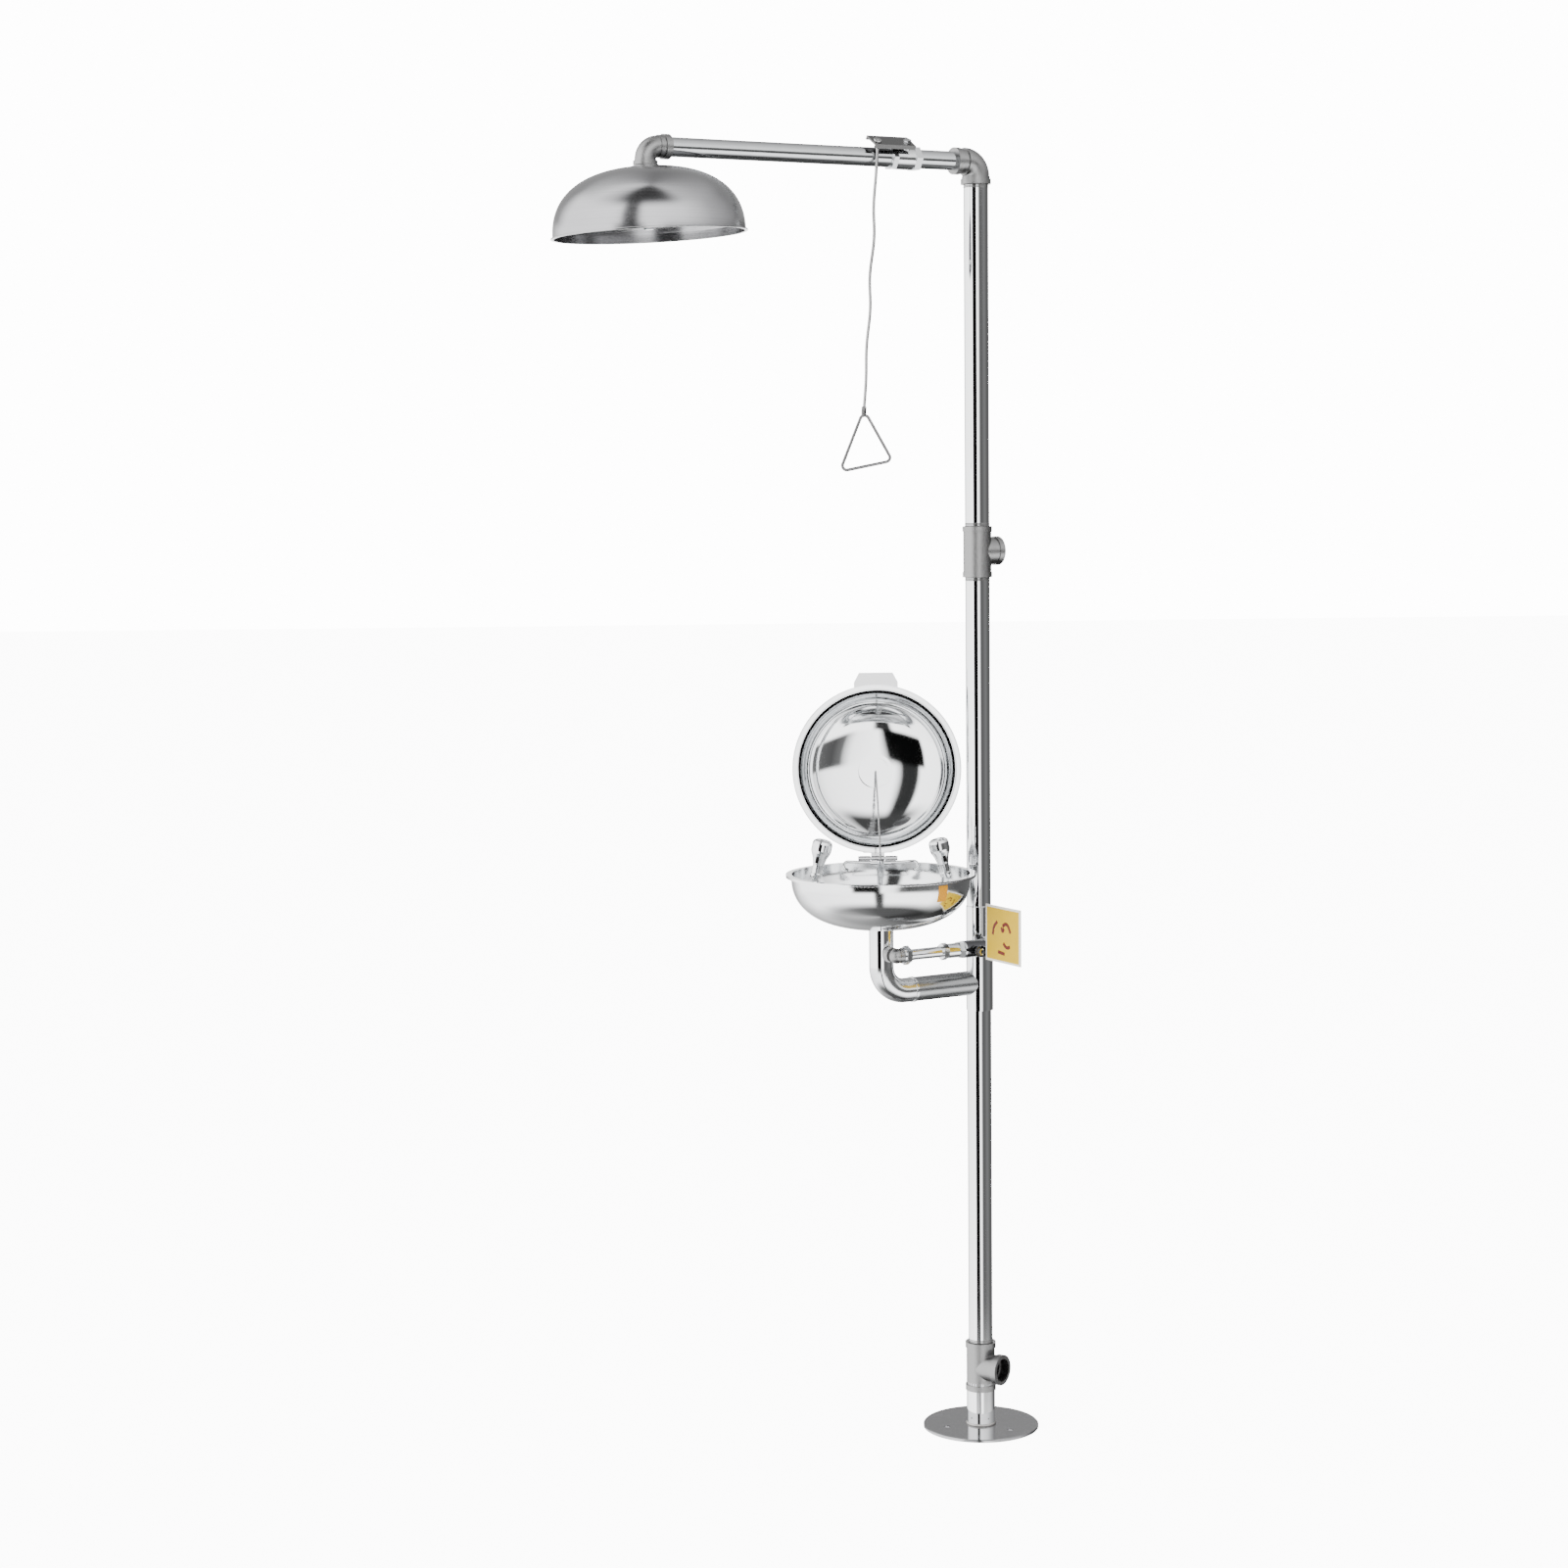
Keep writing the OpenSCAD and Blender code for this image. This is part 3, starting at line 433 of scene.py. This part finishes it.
def thread_turns(name, place, radius):
    """Bare turns of thread round an upright pipe: rings at the root and at the crest by turns."""
    clear_selection()
    bpy.ops.mesh.primitive_cylinder_add(vertices=64, radius=radius, depth=thread_pitch * thread_turn_count)
    sleeve = bpy.context.object
    mesh = bmesh.new()
    rings = []
    for step in range(2 * thread_turn_count + 1):
        ring_r = radius * (1.0 if step % 2 else thread_root)
        height = (step / 2.0 - thread_turn_count / 2.0) * thread_pitch
        angles = [k * math.tau / 64 for k in range(64)]
        rings.append([mesh.verts.new((ring_r * math.cos(a), ring_r * math.sin(a), height)) for a in angles])
    for low, high in zip(rings, rings[1:]):
        for k in range(64):
            mesh.faces.new((low[k], low[(k + 1) % 64], high[(k + 1) % 64], high[k]))
    mesh.to_mesh(sleeve.data)
    mesh.free()
    bpy.ops.object.shade_smooth_by_angle(angle=math.radians(35))
    sleeve.location = place
    return settle(sleeve, name, cast_satin, "stand")


tee_low, tee_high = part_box("outlet_tee")
inlet_low, inlet_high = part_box("inlet_tee")
thread_off = 0.003
for thread_name, thread_z in [("outlet_thread_low", tee_low.z - thread_off),
                              ("outlet_thread_high", tee_high.z + thread_off),
                              ("inlet_thread_low", inlet_low.z - thread_off),
                              ("inlet_thread_high", inlet_high.z + thread_off),
                              ("elbow_thread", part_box("top_elbow")[0].z - thread_off)]:
    thread_turns(thread_name, (0.0, 0.0, thread_z), pole_r + 0.0006)

# ---------------------------------------------------------------- shower valve and lever
# A bright ball valve turned from stainless bar, screwed between the nipple and the arm. Its lever is a strip
# of stainless plate with its long edges folded down, held on the stem by a nut.
valve_bright = steel("valve_bright", (0.60, 0.61, 0.62), 0.12, pull=(250.0, 250.0, 900.0), depth=0.05)
dress(valve_bright, "shower_valve_body", "shower_valve_end", "shower_stem", "shower_ball", "lever_nut",
      "eyewash_valve_end", "feed_union_nut", "feed_nipple", "flag_nut", "spray_disc_screw")
lever_satin = steel("lever_satin", (0.11, 0.11, 0.11), 0.24, pull=(40.0, 900.0, 900.0), depth=0.1)
dress(lever_satin, "shower_lever")


def plastic(name, colour, rough, patch=14.0, grain=0.05):
    """Moulded plastic, foam or printed vinyl: a colour with faint patches of wear and a fine pebbled skin."""
    mat = bpy.data.materials.new(name)
    mat.use_nodes = True
    nodes, links = mat.node_tree.nodes, mat.node_tree.links
    shader = nodes["Principled BSDF"]
    shader.inputs["Specular IOR Level"].default_value = 0.25
    marks = place_group(mat, marks_group, {"Patch Size": patch})
    shade = nodes.new("ShaderNodeMix")
    shade.data_type = "RGBA"
    shade.inputs["A"].default_value = (*colour, 1.0)
    shade.inputs["B"].default_value = (*[0.88 * c for c in colour], 1.0)
    links.new(marks.outputs["Patches"], shade.inputs["Factor"])
    links.new(shade.outputs["Result"], shader.inputs["Base Color"])
    links.new(grey_mix(mat, marks.outputs["Patches"], rough, rough + 0.18), shader.inputs["Roughness"])
    lines = place_group(mat, grain_group, {"Pull": (1200.0, 1200.0, 1200.0)})
    bump = nodes.new("ShaderNodeBump")
    bump.inputs["Strength"].default_value = grain
    bump.inputs["Distance"].default_value = 0.0005
    links.new(lines.outputs["Lines"], bump.inputs["Height"])
    links.new(bump.outputs["Normal"], shader.inputs["Normal"])
    return mat


seat_white = plastic("seat_white", (0.86, 0.86, 0.84), 0.4)
dress(seat_white, "shower_valve_seats", "eyewash_valve_seats")

# ---------------------------------------------------------------- shower head
# A dome spun from 2 mm sheet on a lathe, which leaves fine rings round its axis, with a perforated spray disc
# held up inside by one screw.
head_low, head_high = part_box("shower_head")
head_x, head_y = (head_low.x + head_high.x) / 2.0, (head_low.y + head_high.y) / 2.0
head_lean = math.radians(2.5)
head_r = (head_high.y - head_low.y) / 2.0
head_h = 0.110
head_place = Matrix.Translation((head_x, head_y, head_low.z + head_r * math.sin(head_lean)))
head_place = head_place @ Matrix.Rotation(-head_lean, 4, "Y")
head_axis = (head_x, head_y, 0.0)
head_spun = steel("head_spun", (0.34, 0.34, 0.35), 0.20, axis=head_axis, fineness=420.0, depth=0.03)
disc_spun = steel("disc_spun", (0.74, 0.75, 0.76), 0.08, axis=head_axis, fineness=900.0, depth=0.03)
dress(disc_spun, "spray_disc")


def spun_shell(profile, place, turns=144):
    """A sheet spun to a profile of (radius, height) steps, extruded ring by ring from its edge inwards."""
    clear_selection()
    radius, height = profile[0]
    bpy.ops.mesh.primitive_circle_add(vertices=turns, radius=radius, location=(0.0, 0.0, height))
    shell = bpy.context.object
    bpy.ops.object.mode_set(mode="EDIT")
    bpy.ops.mesh.select_all(action="SELECT")
    for next_radius, next_height in profile[1:]:
        bpy.ops.mesh.extrude_region_move(TRANSFORM_OT_translate={"value": (0.0, 0.0, next_height - height)})
        factor = next_radius / radius
        bpy.ops.transform.resize(value=(factor, factor, 1.0))
        radius, height = next_radius, next_height
    bpy.ops.object.mode_set(mode="OBJECT")
    shell.location = place
    return shell


def dome_steps(radius, depth, power, hole, steps=44):
    """Half a flattened dome as (radius, height) steps, from its rim in to the hole at its crown."""
    bends = [math.radians(90.0 * step / steps) for step in range(steps)]
    arc = [(radius * math.cos(t) ** (2.0 / power), depth * math.sin(t) ** (2.0 / power)) for t in bends]
    return [step for step in arc if step[0] > hole] + [(hole, depth)]


def spun_sheet(lip, outside, inside, place, upside_down=False):
    """Closes a spun sheet: its lip, its outer face in to the crown and its inner face back out again."""
    profile = lip + outside + inside[::-1] + lip[:1]
    if upside_down:
        profile = [(radius, -height) for radius, height in profile]
    shell = spun_shell(profile, place)
    bpy.ops.object.mode_set(mode="EDIT")
    bpy.ops.mesh.select_all(action="SELECT")
    bpy.ops.mesh.remove_doubles(threshold=0.00002)
    bpy.ops.mesh.normals_make_consistent(inside=False)
    bpy.ops.object.mode_set(mode="OBJECT")
    bpy.ops.object.shade_smooth_by_angle(angle=math.radians(30))
    return shell


head_wall = 0.002
head_crown = 2.4
head_hole = 0.012
dome_r = head_r - 0.003
head_lip = [(head_r, 0.0), (head_r, head_wall), (dome_r, 0.0022)]
head_shell = spun_sheet(head_lip, dome_steps(dome_r, head_h, head_crown, head_hole)[1:],
                        dome_steps(dome_r - head_wall, head_h - head_wall, head_crown, head_hole),
                        (0.0, 0.0, 0.0))
head_shell.matrix_world = head_place
settle(head_shell, "head_shell", head_spun, "stand")
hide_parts("shower_head")


def edge_roll(name, place, radius, thick, material, body, turn=(0.0, 0.0, 0.0)):
    """A rolled edge: the sheet's rim turned over a wire, seen as a smooth bead."""
    clear_selection()
    bpy.ops.mesh.primitive_torus_add(
        major_segments=160, minor_segments=14, major_radius=radius, minor_radius=thick)
    roll = bpy.context.object
    bpy.ops.object.mode_set(mode="EDIT")
    bpy.ops.mesh.select_all(action="SELECT")
    bpy.ops.transform.resize(value=(1.0, 1.0, 0.8))
    bpy.ops.object.mode_set(mode="OBJECT")
    bpy.ops.object.shade_smooth()
    roll.rotation_euler = turn
    roll.location = place
    return settle(roll, name, material, body)


head_roll_r = 0.0020
head_rim = head_place @ Vector((0.0, 0.0, 0.0012))
edge_roll("head_rim_roll", head_rim, head_r - head_roll_r - 0.0002, head_roll_r, disc_spun, "stand",
          turn=(0.0, -head_lean, 0.0))

# ---------------------------------------------------------------- pull rod and handle
# One length of 5.5 mm stainless wire, straightened by hand so that it still waves a little, with its lower
# end bent to a triangle with round corners and welded closed under the apex.
rod_wire = steel("rod_wire", (0.40, 0.40, 0.40), 0.25, pull=(300.0, 300.0, 900.0), depth=0.06)
# The handle's steel is the rod's wire made much darker: painted shade on the triangle and its ferrule.
handle_wire_painted_shade = steel("handle_wire_painted_shade", (0.16, 0.16, 0.16), 0.25, pull=(500.0, 500.0, 500.0), depth=0.08)
rod_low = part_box("pull_rod")[0]


def drawn_wire(points, thick, closed=False, springy=True):
    """Round wire bent through the given points, in easy curves if springy, else straight between them."""
    clear_selection()
    bpy.ops.curve.primitive_bezier_curve_add()
    wire = bpy.context.object
    wire.data.splines.clear()
    run = wire.data.splines.new("BEZIER" if springy else "POLY")
    knots = run.bezier_points if springy else run.points
    knots.add(len(points) - 1)
    for knot, point in zip(knots, points):
        if springy:
            knot.co = point
            knot.handle_left_type = "AUTO"
            knot.handle_right_type = "AUTO"
        else:
            knot.co = (*point, 1.0)
    run.use_cyclic_u = closed
    wire.data.bevel_depth = thick
    wire.data.bevel_resolution = 5
    wire.data.resolution_u = 10
    wire.data.use_fill_caps = not closed
    bpy.ops.object.convert(target="MESH")
    bpy.ops.object.shade_smooth()
    return bpy.context.object


rod_joint = next(j for j in frame["joints"] if j["name"] == "pull_rod_swing")
rod_top = Vector(rod_joint["pos_m"])
rod_r = 0.00275
button_r = 0.0072
button_t = 0.0052
button_inset = 0.0020
apex = Vector((rod_low.x + rod_r, rod_top.y, rod_low.z))
rod_sway = [(0.0, 0.0), (0.12, 0.0), (0.24, -0.0012), (0.36, 0.0022), (0.50, -0.0016), (0.62, 0.0018),
            (0.76, -0.0010), (0.88, 0.0008), (1.0, 0.0)]
rod_run = [rod_top.lerp(apex, along) + Vector((aside, 0.0, 0.0)) for along, aside in rod_sway]
pull_wire = drawn_wire(rod_run, rod_r)
settle(pull_wire, "pull_wire", rod_wire, "rod_body")
button_axis = Vector(rod_joint["axis"])
clear_selection()
bpy.ops.mesh.primitive_cylinder_add(vertices=48, radius=button_r, depth=button_t)
rod_button = bpy.context.object
bpy.ops.object.mode_set(mode="EDIT")
bpy.ops.mesh.select_all(action="SELECT")
bpy.ops.mesh.bevel(offset=0.0012, segments=3, affect="EDGES")
bpy.ops.object.mode_set(mode="OBJECT")
bpy.ops.object.shade_smooth_by_angle(angle=math.radians(40))
rod_button.rotation_euler = button_axis.to_track_quat("Z", "Y").to_euler()
rod_button.location = rod_top - button_axis * button_inset
settle(rod_button, "rod_button", rod_wire, "rod_body")
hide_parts("pull_rod")


def rounded_loop(corners, radius, steps=8):
    """The path of a wire bent to a closed shape, each corner turned on a former of the given radius."""
    loop = []
    for number, corner in enumerate(corners):
        to_last = (corners[number - 1] - corner).normalized()
        to_next = (corners[(number + 1) % len(corners)] - corner).normalized()
        half = to_last.angle(to_next) / 2.0
        centre = corner + (to_last + to_next).normalized() * radius / math.sin(half)
        start = corner + to_last * radius / math.tan(half) - centre
        end = corner + to_next * radius / math.tan(half) - centre
        for step in range(steps + 1):
            turn = Matrix.Rotation((math.pi - 2.0 * half) * step / steps, 3, start.cross(end))
            loop.append(centre + turn @ start)
    return loop


handle_corners = [apex + Vector((0.0, 0.0, 0.004)), apex + Vector((-0.0415, 0.0, -0.100)),
                  apex + Vector((0.0475, 0.0, -0.0825))]
corner_r = 0.0075
pull_triangle = drawn_wire(rounded_loop(handle_corners, corner_r), rod_r, closed=True, springy=False)
settle(pull_triangle, "pull_triangle", handle_wire_painted_shade, "rod_body")
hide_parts("pull_handle")
rod_lean = (rod_top - apex).normalized()
ferrule_r = 0.0042
ferrule_l = 0.016
clear_selection()
bpy.ops.mesh.primitive_cylinder_add(vertices=40, radius=ferrule_r, depth=ferrule_l)
handle_ferrule = bpy.context.object
bpy.ops.object.mode_set(mode="EDIT")
bpy.ops.mesh.select_all(action="SELECT")
bpy.ops.mesh.bevel(offset=0.0012, segments=3, affect="EDGES")
bpy.ops.object.mode_set(mode="OBJECT")
bpy.ops.object.shade_smooth_by_angle(angle=math.radians(40))
handle_ferrule.rotation_euler = rod_lean.to_track_quat("Z", "Y").to_euler()
handle_ferrule.location = apex + rod_lean * 0.001
settle(handle_ferrule, "handle_ferrule", handle_wire_painted_shade, "rod_body")

# ---------------------------------------------------------------- bowl
# The eyewash bowl is deep drawn and mirror polished inside and out, with a flat flange turned out at its rim
# and a strainer over the waste.
bowl_low, bowl_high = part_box("bowl")
bowl_x, bowl_y = (bowl_low.x + bowl_high.x) / 2.0, (bowl_low.y + bowl_high.y) / 2.0
bowl_polish = steel("bowl_polish", (0.80, 0.81, 0.82), 0.10, axis=(bowl_x, bowl_y, 0.0), fineness=500.0,
                    depth=0.02, dull=0.06)
bowl_r = (bowl_high.x - bowl_low.x) / 2.0
bowl_h = bowl_high.z - bowl_low.z
bowl_wall = 0.0015
bowl_crown = 2.5
waste_r = 0.017
flange_w = 0.009
basin_r = bowl_r - flange_w
bowl_lip = [(bowl_r, 0.0), (bowl_r, 0.0045), (bowl_r - bowl_wall, 0.0045), (bowl_r - bowl_wall, 0.0016),
            (basin_r, 0.0016)]
bowl_shell = spun_sheet(bowl_lip, dome_steps(basin_r, bowl_h, bowl_crown, waste_r)[1:],
                        dome_steps(basin_r - bowl_wall, bowl_h - bowl_wall, bowl_crown, waste_r),
                        (bowl_x, bowl_y, bowl_high.z), upside_down=True)
settle(bowl_shell, "bowl_shell", bowl_polish, "stand")
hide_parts("bowl")
strainer_satin = steel("strainer_satin", (0.55, 0.55, 0.55), 0.25, axis=(bowl_x, bowl_y, 0.0), depth=0.05)
dress(strainer_satin, "bowl_strainer")
bowl_roll_r = 0.0022
edge_roll("bowl_rim_roll", (bowl_x, bowl_y, bowl_high.z - bowl_roll_r - 0.0002), bowl_r - 0.0021, bowl_roll_r,
          bowl_polish, "stand")

# ---------------------------------------------------------------- feed line and valve
# Half-inch chromed pipe screwed into elbows, with a union nut by the bowl and a dark plated brass ball
# valve by the pole, whose stem carries the push plate.
feed_chrome = steel("feed_chrome", (0.72, 0.73, 0.74), 0.08, pull=(400.0, 400.0, 900.0), depth=0.03)
dress(feed_chrome, "feed_pipe", "riser")
dark_plating = steel("dark_plating", (0.07, 0.07, 0.075), 0.22, pull=(700.0, 700.0, 700.0), depth=0.08)
dress(dark_plating, "eyewash_valve_body", "eyewash_stem_ball", "flag_bracket", "hinge_rivets")

# ---------------------------------------------------------------- yoke and nozzles
# A bent tube carries two turned brass nozzles, bright chromed like the tube, each with a foam filter under
# its cap and a slot in its front. A wire with curled ends crosses the bowl at the top of the post.
nozzle_chrome = steel("nozzle_chrome", (0.74, 0.75, 0.76), 0.08, pull=(300.0, 300.0, 300.0), depth=0.02)
dress(nozzle_chrome, "yoke", "nozzle_left", "nozzle_right", "chain_post")
filter_foam = plastic("filter_foam", (0.74, 0.74, 0.70), 0.8, grain=0.4)
dress(filter_foam, "nozzle_filters")
cross_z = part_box("chain_post")[1].z - 0.0035
cross_wire_r = 0.0026
cross_half = [(0.012, 0.0, 0.0), (0.034, 0.0, 0.0006), (0.052, 0.0, 0.0016), (0.0600, -0.002, 0.0012),
              (0.0635, -0.005, -0.0030), (0.0620, -0.008, -0.0085), (0.0565, -0.010, -0.0115)]
cross_run = [(-x, y, z) for x, y, z in reversed(cross_half)] + cross_half
cross_middle = Vector((bowl_x, bowl_y, cross_z))
cross_wire = drawn_wire([cross_middle + Vector(point) for point in cross_run], cross_wire_r)
settle(cross_wire, "post_cross_wire", nozzle_chrome, "stand")
# The slots are not cut: a near-black block in each nozzle's front is painted shade, standing in for the shade
# inside the slot.
slot_painted_shade = steel("slot_painted_shade", (0.012, 0.012, 0.012), 0.4, pull=(600.0, 600.0, 600.0))
nozzle_lean = math.radians(12.0)
nozzle_across = 0.112
nozzle_foot = 0.006
port_size = (0.0055, 0.0024, 0.0110)
port_place = (0.0, -0.0128, 0.031)
port_turn = 0.35
for side, side_name in [(-1.0, "left"), (1.0, "right")]:
    clear_selection()
    bpy.ops.mesh.primitive_cube_add(size=1.0)
    port = bpy.context.object
    port.scale = port_size
    bpy.ops.object.transform_apply(location=False, rotation=False, scale=True)
    bpy.ops.object.mode_set(mode="EDIT")
    bpy.ops.mesh.select_all(action="SELECT")
    bpy.ops.mesh.bevel(offset=0.0009, segments=3, affect="EDGES")
    bpy.ops.object.mode_set(mode="OBJECT")
    bpy.ops.object.shade_smooth_by_angle(angle=math.radians(40))
    foot = Vector((bowl_x + side * nozzle_across, bowl_y, bowl_high.z - nozzle_foot))
    port.matrix_world = (Matrix.Translation(foot) @ Matrix.Rotation(-side * nozzle_lean, 4, "Y")
                         @ Matrix.Rotation(side * port_turn, 4, "Z") @ Matrix.Translation(port_place))
    settle(port, "nozzle_slot_painted_shade_" + side_name, slot_painted_shade, "stand")

# ---------------------------------------------------------------- lid and hinge
# The dust lid is drawn from thin sheet and mirror polished, with two pressed rings near its rim, a cup welded
# at its middle for the chain, and a tab to lift it by. It hangs on a pin hinge at the back of the bowl.
lid_joint = next(j for j in frame["joints"] if j["name"] == "lid_hinge")
lid_hinge_place = Vector(lid_joint["pos_m"])
lid_swing = math.radians(lid_joint["range_deg"][1])
open_lid = (Matrix.Translation(lid_hinge_place) @ Matrix.Rotation(-lid_swing, 4, "X")
            @ Matrix.Translation(-lid_hinge_place))
lid_polish = steel("lid_polish", (0.80, 0.81, 0.82), 0.06, pull=(500.0, 500.0, 500.0), depth=0.01, dull=0.05)
dress(lid_polish, "lid_boss")
lid_edge_z = lid_hinge_place.z
lid_r = (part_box("lid")[1].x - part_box("lid")[0].x) / 2.0
lid_h = 0.088
lid_wall = 0.0015
lid_crown = 2.6
lid_point = 0.001
cover_r = lid_r - 0.009
lid_lip = [(lid_r, 0.0), (lid_r, 0.0025), (cover_r, 0.0026)]
lid_shell = spun_sheet(lid_lip, dome_steps(cover_r, lid_h, lid_crown, lid_point)[1:],
                       dome_steps(cover_r - lid_wall, lid_h - lid_wall, lid_crown, lid_point),
                       (bowl_x, bowl_y, lid_edge_z))
lid_shell.matrix_world = open_lid @ Matrix.Translation((bowl_x, bowl_y, lid_edge_z))
settle(lid_shell, "lid_shell", lid_polish, "lid_body")
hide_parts("lid")
bead_thick = 0.0013
for bead_name, bead_r, bead_z in [("lid_rim_bead", 0.1488, 0.0008), ("lid_step_bead", 0.1406, 0.0004)]:
    clear_selection()
    bpy.ops.mesh.primitive_torus_add(
        major_segments=160, minor_segments=12, major_radius=bead_r, minor_radius=bead_thick,
        location=(bowl_x, bowl_y, lid_edge_z + bead_z))
    bead = bpy.context.object
    bpy.ops.object.mode_set(mode="EDIT")
    bpy.ops.mesh.select_all(action="SELECT")
    bpy.ops.transform.resize(value=(1.0, 1.0, 0.7))
    bpy.ops.object.mode_set(mode="OBJECT")
    bpy.ops.object.shade_smooth()
    bead.matrix_world = open_lid @ bead.matrix_world
    settle(bead, bead_name, lid_polish, "lid_body")
hinge_bright = steel("hinge_bright", (0.55, 0.55, 0.56), 0.16, pull=(900.0, 60.0, 900.0), depth=0.05)
dress(hinge_bright, "lid_tab", "lid_hinge_leaf", "hinge_bracket", "hinge_pin")

# ---------------------------------------------------------------- lid chain
# A light chain of steel balls on wire links, from the post in the bowl to the cup in the lid. It hangs in a
# shallow curve.
chain_steel = steel("chain_steel", (0.35, 0.35, 0.35), 0.2, pull=(900.0, 900.0, 900.0), depth=0.05)
chain_low = Vector((bowl_x, bowl_y + 0.004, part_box("chain_post")[1].z + 0.0025))
chain_top = Vector((bowl_x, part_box("lid_chain")[1].y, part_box("lid_chain")[1].z))
chain_way = chain_top - chain_low
ball_gap = 0.0042
ball_r = 0.0017
link_r = 0.0005
chain_sag = 0.010
ball_count = int(chain_way.length / ball_gap)
clear_selection()
bpy.ops.mesh.primitive_uv_sphere_add(segments=14, ring_count=8, radius=ball_r)
ball = bpy.context.object
bpy.ops.object.mode_set(mode="EDIT")
bpy.ops.mesh.primitive_cylinder_add(vertices=8, radius=link_r, depth=ball_gap,
                                    location=(0.0, 0.0, ball_gap / 2.0))
bpy.ops.object.mode_set(mode="OBJECT")
row = ball.modifiers.new("row", "ARRAY")
row.use_relative_offset = False
row.use_constant_offset = True
row.constant_offset_displace = (0.0, 0.0, ball_gap)
row.count = ball_count
bpy.ops.object.modifier_apply(modifier="row")
bpy.ops.object.shade_smooth()
for vertex in ball.data.vertices:
    along = vertex.co.z / chain_way.length
    vertex.co.y += 4.0 * chain_sag * along * (1.0 - along)
ball.rotation_euler = chain_way.to_track_quat("Z", "Y").to_euler()
ball.location = chain_low
settle(ball, "ball_chain", chain_steel, "stand")
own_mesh(ball)
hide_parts("lid_chain")

# ---------------------------------------------------------------- push plate and labels
# A folded strip on the valve's stem carries a pale plastic plate with a yellow printed sheet on its face.
# The bowl carries a small amber label, and both are self-adhesive vinyl.
plate_pale = plastic("plate_pale", (0.80, 0.78, 0.70), 0.25)
dress(plate_pale, "flag_plate")
label_yellow = plastic("label_yellow", (0.62, 0.40, 0.004), 0.55)
dress(label_yellow, "flag_label")
print_brown = plastic("print_brown", (0.13, 0.012, 0.005), 0.5)
face_mid = (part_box("flag_label")[0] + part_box("flag_label")[1]) / 2.0
face_right = Vector((math.sin(arm_bearing), -math.cos(arm_bearing), 0.0))
face_out = Vector((-math.cos(arm_bearing), -math.sin(arm_bearing), 0.0))
face_skin = face_mid + face_out * 0.0002
ink_flatness = 0.12


def printed_stroke(strokes, half_width):
    """Flat strokes of ink on the plate's face, each a run of (right, up) places from the face's middle."""
    inked = []
    for stroke in strokes:
        line = drawn_wire([Vector((across, up, 0.0)) for across, up in stroke], half_width)
        line.scale = (1.0, 1.0, ink_flatness)
        inked.append(line)
    clear_selection()
    for line in inked:
        line.select_set(True)
    bpy.context.view_layer.objects.active = inked[0]
    bpy.ops.object.transform_apply(location=True, rotation=True, scale=True)
    bpy.ops.object.join()
    return bpy.context.object


eye_sign = [[(-0.030, -0.002), (-0.026, 0.012), (-0.016, 0.022)],
            [(0.000, 0.016), (0.012, 0.020), (0.024, 0.006)],
            [(0.002, -0.014), (0.012, -0.020), (0.022, -0.018)],
            [(-0.004, 0.013), (0.000, 0.007), (0.004, 0.012)],
            [(-0.014, -0.030), (0.006, -0.032)]]
ink_half_width = 0.0030
pictogram = printed_stroke(eye_sign, ink_half_width)
across_face = Matrix((face_right, Vector((0.0, 0.0, 1.0)), face_out)).transposed().to_4x4()
pictogram.matrix_world = Matrix.Translation(face_skin) @ across_face
settle(pictogram, "plate_pictogram", print_brown, "flag_body")
label_amber = plastic("label_amber", (0.55, 0.24, 0.006), 0.5)
dress(label_amber, "bowl_label")
